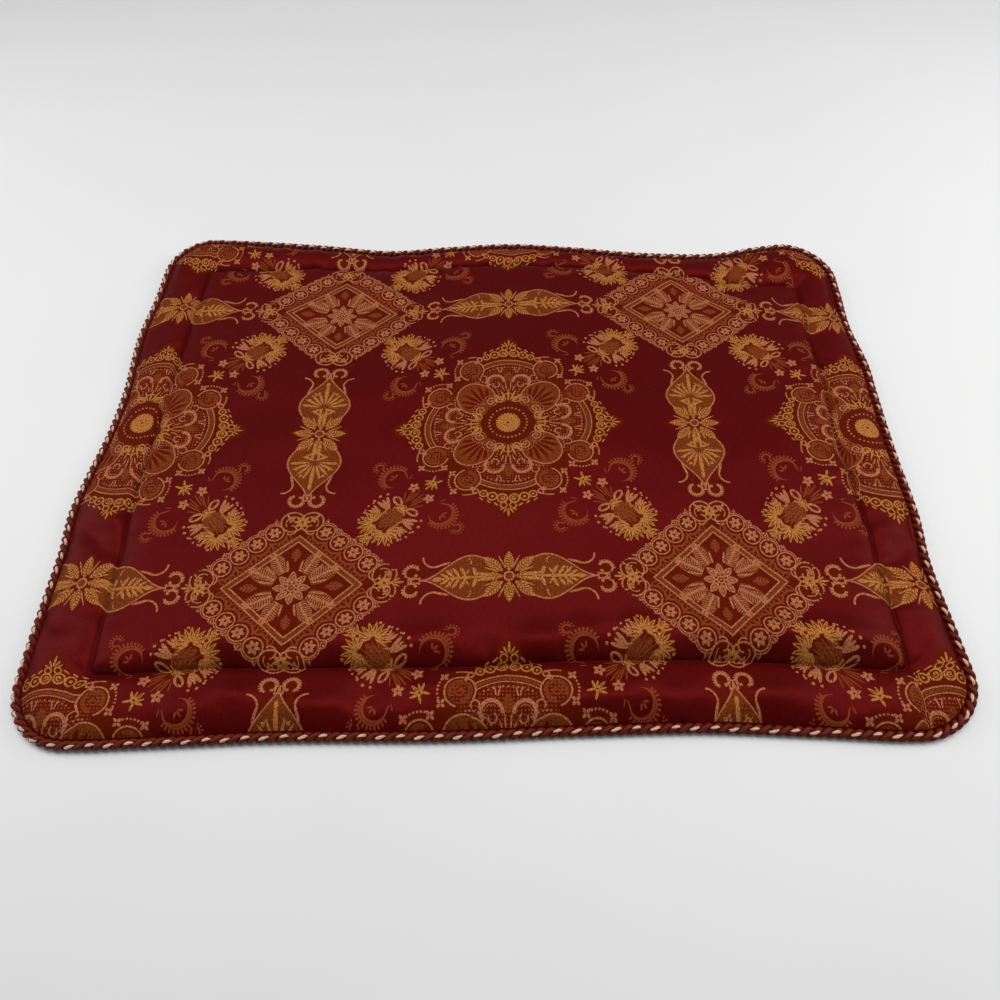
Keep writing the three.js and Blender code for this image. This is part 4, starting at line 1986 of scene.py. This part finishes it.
    def stitch(self, thread: bpy.types.Material) -> bpy.types.Object:
        """Sew the channel.

        Args:
            thread: the thread's finish.

        Returns:
            The stitches.
        """
        plan = self.plan
        probe = self.seam_probe
        x, y = plan.loop(0, 1, self.seam_points)
        for _ in range(self.seam_rounds):
            off = plan.inside_channel(x, y)
            slope_x = plan.inside_channel(x + probe, y) - plan.inside_channel(x - probe, y)
            slope_y = plan.inside_channel(x, y + probe) - plan.inside_channel(x, y - probe)
            steep = np.maximum(slope_x ** 2 + slope_y ** 2, self.least_slope)
            x, y = x - off * slope_x / steep, y - off * slope_y / steep
        path = np.stack((x, y, plan.face_height(x, y) + plan.lift(x, y) + self.stitch_rise), 1)
        return Stitching().build("channel_stitches", np.vstack((path, path[:1])), thread, "jacquard")


@dataclass
class BackPanel:
    """One plain panel of the envelope back, with a stitched hem at the opening."""

    plan: ShamPlan
    name: str
    node: str
    outer: bool
    columns: int = 96
    rows: int = 48
    thickness: float = 1.2
    bed: float = 0.3
    hem_width: float = 18.0
    stitch_rise: float = 0.16
    stitch_margin: float = 4.0

    @property
    def hem(self) -> float:
        """Where the panel's hemmed opening lies, from front to back."""
        return -self.plan.overlap_half if self.outer else self.plan.overlap_half

    def build(self, material: bpy.types.Material) -> bpy.types.Object:
        """Make the panel.

        Args:
            material: the cloth's finish.

        Returns:
            The panel's cloth.
        """
        shape, shares = plain_grid(self.columns, self.rows)
        plan = self.plan
        far = BACK if self.outer else FRONT
        y = self.hem + (plan.edge(far, np.zeros(1)) - self.hem) * shares[:, 1]
        left, right = plan.edge(LEFT, y), plan.edge(RIGHT, y)
        x = left + (right - left) * shares[:, 0]
        y = self.hem + (plan.edge(far, x) - self.hem) * shares[:, 1]
        x, y = plan.round_corner(x, y)
        z = plan.lift(x, y) if self.outer else plan.inner_height(x, y)
        move_points(shape.verts, x, y, z + self.bed)
        faces = bmesh.ops.extrude_face_region(shape, geom=list(shape.faces))["geom"]
        bmesh.ops.translate(shape, vec=Vector((0, 0, self.thickness)),
                            verts=[item for item in faces if isinstance(item, bmesh.types.BMVert)])
        bmesh.ops.recalc_face_normals(shape, faces=shape.faces)
        piece = mesh_piece(self.name, shape, [material])
        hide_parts(self.node)
        low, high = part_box(self.node)
        (high - low).x
        (high - low).y
        return piece

    def stitch(self, thread: bpy.types.Material) -> bpy.types.Object:
        """Sew the hem.

        Args:
            thread: the thread's finish.

        Returns:
            The stitches, seen from below.
        """
        y = np.full(2, self.hem + self.hem_width * (1 if self.outer else -1))
        x = np.array([self.plan.edge(side, y)[0] - side.out * self.stitch_margin for side in (LEFT, RIGHT)])
        path = np.stack((x, y, np.full(2, self.bed + self.stitch_rise)), 1)
        return Stitching().build(f"{self.node}_stitches", path, thread, "backing")


@dataclass
class RopeEdging:
    """The twisted rope sewn all round: two dark plies, one of them with a pale yarn that
    surfaces once a turn as a short dash."""

    plan: ShamPlan
    lay: float = 14.4
    steps: int = 12
    side_points: int = 700
    way_span: int = 3
    ply_radius: float = 2.1
    ply_orbit: float = 1.9
    yarn_radius: float = 1.35
    yarn_least: float = 0.35
    yarn_rise: float = 2.95
    yarn_slip: float = 0.9
    yarn_bulge: float = 0.45
    dash_length: float = 1.05
    dash_side: float = 98.0
    front_side: float = 76.0
    front_turn: tuple[float, float] = (2.0, 0.8)
    alternate: float = 14.0
    alternate_least: float = 0.3
    dash_wander: float = 14.0
    wander_waves: tuple[int, ...] = (3, 5, 8, 13)
    seed: int = 5

    def route(self) -> np.ndarray:
        """Work out the rope's middle line.

        Returns:
            Its evenly stepped points, as rows of x, y and lift.
        """
        x, y = self.plan.loop(-1, 2, self.side_points)
        edge = np.stack((x, y), 1)
        way = unit(np.roll(edge, -self.way_span, axis=0) - np.roll(edge, self.way_span, axis=0))
        out = self.plan.rope_radius + self.plan.clearance
        place = np.stack((x + way[:, 1] * out, y - way[:, 0] * out, self.plan.lift(x, y)), 1)
        closed = np.vstack((place, place[:1]))
        reached = distances(closed)
        turns = round(reached[-1] / self.lay)
        return points_at(closed, reached, np.linspace(0, reached[-1], turns * self.steps, endpoint=False))

    def dash_sides(self, ahead: np.ndarray) -> np.ndarray:
        """Work out on which side of the rope its pale yarn surfaces.

        Args:
            ahead: the x of the rope's direction at each point.

        Returns:
            The side in radians, from outwards towards the top.
        """
        draws = random.Random(self.seed)
        count = np.arange(len(ahead))
        gain, start = self.front_turn
        front = smooth_step(ahead * gain - start)
        side = self.dash_side + (self.front_side - self.dash_side) * front
        swing = self.alternate_least + (1 - self.alternate_least) * front
        side += swing * self.alternate * np.cos(math.pi * count / self.steps)
        for waves in self.wander_waves:
            side += self.dash_wander / 2 * np.sin(
                math.tau * (waves * count / len(count) + draws.random()))
        return np.radians(side)

    def tube(self, path: np.ndarray, radius: np.ndarray) -> bpy.types.Mesh:
        """Make the mesh of a closed tube.

        Args:
            path: its middle line, in millimetres.
            radius: its radius at each point.

        Returns:
            The mesh, in metres.
        """
        curve = bpy.data.curves.new("rope_yarn", "CURVE")
        curve.dimensions = "3D"
        line = curve.splines.new("POLY")
        line.points.add(len(path) - 1)
        points = np.hstack((path * MILLIMETRE, np.ones((len(path), 1))))
        line.points.foreach_set("co", points.ravel())
        line.points.foreach_set("radius", radius)
        line.use_cyclic_u = True
        curve.bevel_depth = MILLIMETRE
        curve.bevel_resolution = 2
        holder = bpy.data.objects.new("rope_yarn", curve)
        mesh = bpy.data.meshes.new_from_object(holder)
        bpy.data.objects.remove(holder)
        return mesh

    def build(self, dark: bpy.types.Material, pale: bpy.types.Material) -> bpy.types.Object:
        """Make the rope.

        Args:
            dark: the plies' finish.
            pale: the pale yarn's finish.

        Returns:
            The rope.
        """
        route = self.route()
        way = unit(np.roll(route, -1, axis=0) - np.roll(route, 1, axis=0))
        out = np.stack((way[:, 1], -way[:, 0], np.zeros(len(way))), 1)
        up = np.array((0, 0, 1.0))
        centre = route + up * self.plan.rope_radius

        def beside(outwards: np.ndarray, upwards: np.ndarray) -> np.ndarray:
            """Return the line that runs this far outwards and upwards of the rope's middle."""
            return centre + outwards[:, None] * out + upwards[:, None] * up

        turn = math.tau * np.arange(len(route)) / self.steps
        orbit_out, orbit_up = self.ply_orbit * np.cos(turn), self.ply_orbit * np.sin(turn)
        side = self.dash_sides(way[:, 0])
        phase = (turn - side + math.pi) % math.tau - math.pi
        swell = np.maximum(np.cos(phase / self.dash_length), 0)
        rise, slip = self.yarn_rise * swell ** self.yarn_bulge, self.yarn_slip * np.sin(phase)
        yarn = beside(rise * np.cos(side) - slip * np.sin(side),
                      rise * np.sin(side) + slip * np.cos(side))
        ply = np.full(len(route), self.ply_radius)
        pale_radius = self.yarn_radius * (self.yarn_least + (1 - self.yarn_least) * np.sqrt(swell))
        shape = bmesh.new()
        for number, path, radius in ((0, beside(orbit_out, orbit_up), ply), (1, yarn, pale_radius),
                                     (0, beside(-orbit_out, -orbit_up), ply)):
            first = len(shape.faces)
            shape.from_mesh(self.tube(path, radius))
            shape.faces.ensure_lookup_table()
            for face in shape.faces[first:]:
                face.material_index = number
        name = "rope_edging_yarn"
        piece = finished_piece(name, mesh_of(name, shape), [dark, pale])
        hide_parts("rope_edging")
        return piece


@dataclass(frozen=True)
class Light:
    """A soft light that faces the sham. Its place and size are in metres."""

    name: str
    place: tuple[float, float, float]
    size: tuple[float, float]
    power: float
    colour: Colour = (1.0, 0.99, 0.97)

    def build(self) -> None:
        """Put the light into the scene."""
        data = bpy.data.lights.new(self.name, "AREA")
        data.shape = "RECTANGLE"
        data.size, data.size_y = self.size
        data.energy = self.power
        data.color = self.colour
        lamp = add_object(self.name, data)
        lamp.location = self.place
        lamp.rotation_euler = (-Vector(self.place)).to_track_quat("-Z", "Y").to_euler()


@dataclass(frozen=True)
class Studio:
    """The floor, the lights and the camera."""

    eye: tuple[float, float, float] = (32.09, -482.98, 576.34)
    pitch: float = 54.58
    yaw: float = -2.89
    roll: float = -3.308
    lens: float = 28.44
    sensor: float = 36.0
    nearest: float = 0.01
    floor_size: float = 8.0
    sky: Colour = (0.95, 0.97, 1.0)
    sky_strength: float = 0.3
    lights: tuple[Light, ...] = (
        Light("ceiling", (0.1, 0.45, 2.2), (2.6, 1.2), 48.0),
        Light("left side", (-1.3, 0.2, 0.8), (1.0, 0.8), 9.0),
        Light("right side", (1.3, 0.2, 0.8), (1.0, 0.8), 11.0),
    )

    def camera(self) -> None:
        """Set up the camera at the photograph's angle."""
        pitch, yaw, roll = (math.radians(angle) for angle in (self.pitch, self.yaw, self.roll))
        ahead = Vector((math.sin(yaw) * math.cos(pitch), math.cos(yaw) * math.cos(pitch),
                        -math.sin(pitch)))
        level = Vector((math.cos(yaw), -math.sin(yaw), 0))
        upright = level.cross(ahead)
        right = math.cos(roll) * level + math.sin(roll) * upright
        up = math.cos(roll) * upright - math.sin(roll) * level
        data = bpy.data.cameras.new("camera")
        data.lens = self.lens
        data.sensor_width = self.sensor
        data.clip_start = self.nearest
        camera = add_object("camera", data)
        turn = Matrix((right, up, -ahead)).transposed().to_4x4()
        camera.matrix_world = Matrix.Translation(Vector(self.eye) * MILLIMETRE) @ turn
        bpy.context.scene.camera = camera

    def build(self) -> None:
        """Make the floor, the lights and the camera."""
        shape = bmesh.new()
        bmesh.ops.create_grid(shape, x_segments=2, y_segments=2, size=self.floor_size / 2)
        floor = add_object("floor", mesh_of("floor", shape))
        floor.data.materials.append(Floor().dress())
        world = bpy.data.worlds.new("studio")
        world.use_nodes = True
        sky = world.node_tree.nodes["Background"]
        sky.inputs["Color"].default_value = (*self.sky, 1.0)
        sky.inputs["Strength"].default_value = self.sky_strength
        bpy.context.scene.world = world
        for light in self.lights:
            light.build()
        bpy.context.scene.view_settings.view_transform = "Standard"
        self.camera()


def main() -> None:
    """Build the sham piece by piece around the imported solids."""
    logging.basicConfig(level=logging.INFO, format="%(name)s: %(message)s")
    plan = ShamPlan()
    Studio().build()
    LOG.info("studio ready")
    # The sewing thread is darker than its own colour: the extra darkness is painted shade for the channel's
    # groove.
    thread = Yarn("sewing_thread_painted_seam_shade", linear(46, 8, 7)).dress()
    front = FrontPanel(plan, Jacquard())
    front.build()
    front.stitch(thread)
    LOG.info("front panel ready")
    backing = Backing().dress()
    outer = BackPanel(plan, "back_panel_outer_cloth", "back_panel_outer", outer=True)
    outer.build(backing)
    outer.stitch(thread)
    BackPanel(plan, "back_panel_inner_cloth", "back_panel_inner", outer=False).build(backing)
    LOG.info("back panels ready")
    dark = Yarn("dark_ply", linear(88, 22, 12)).dress()
    pale = Yarn("pale_strand", linear(214, 168, 144)).dress()
    RopeEdging(plan).build(dark, pale)
    LOG.info("rope ready")


if __name__ == "__main__":
    main()
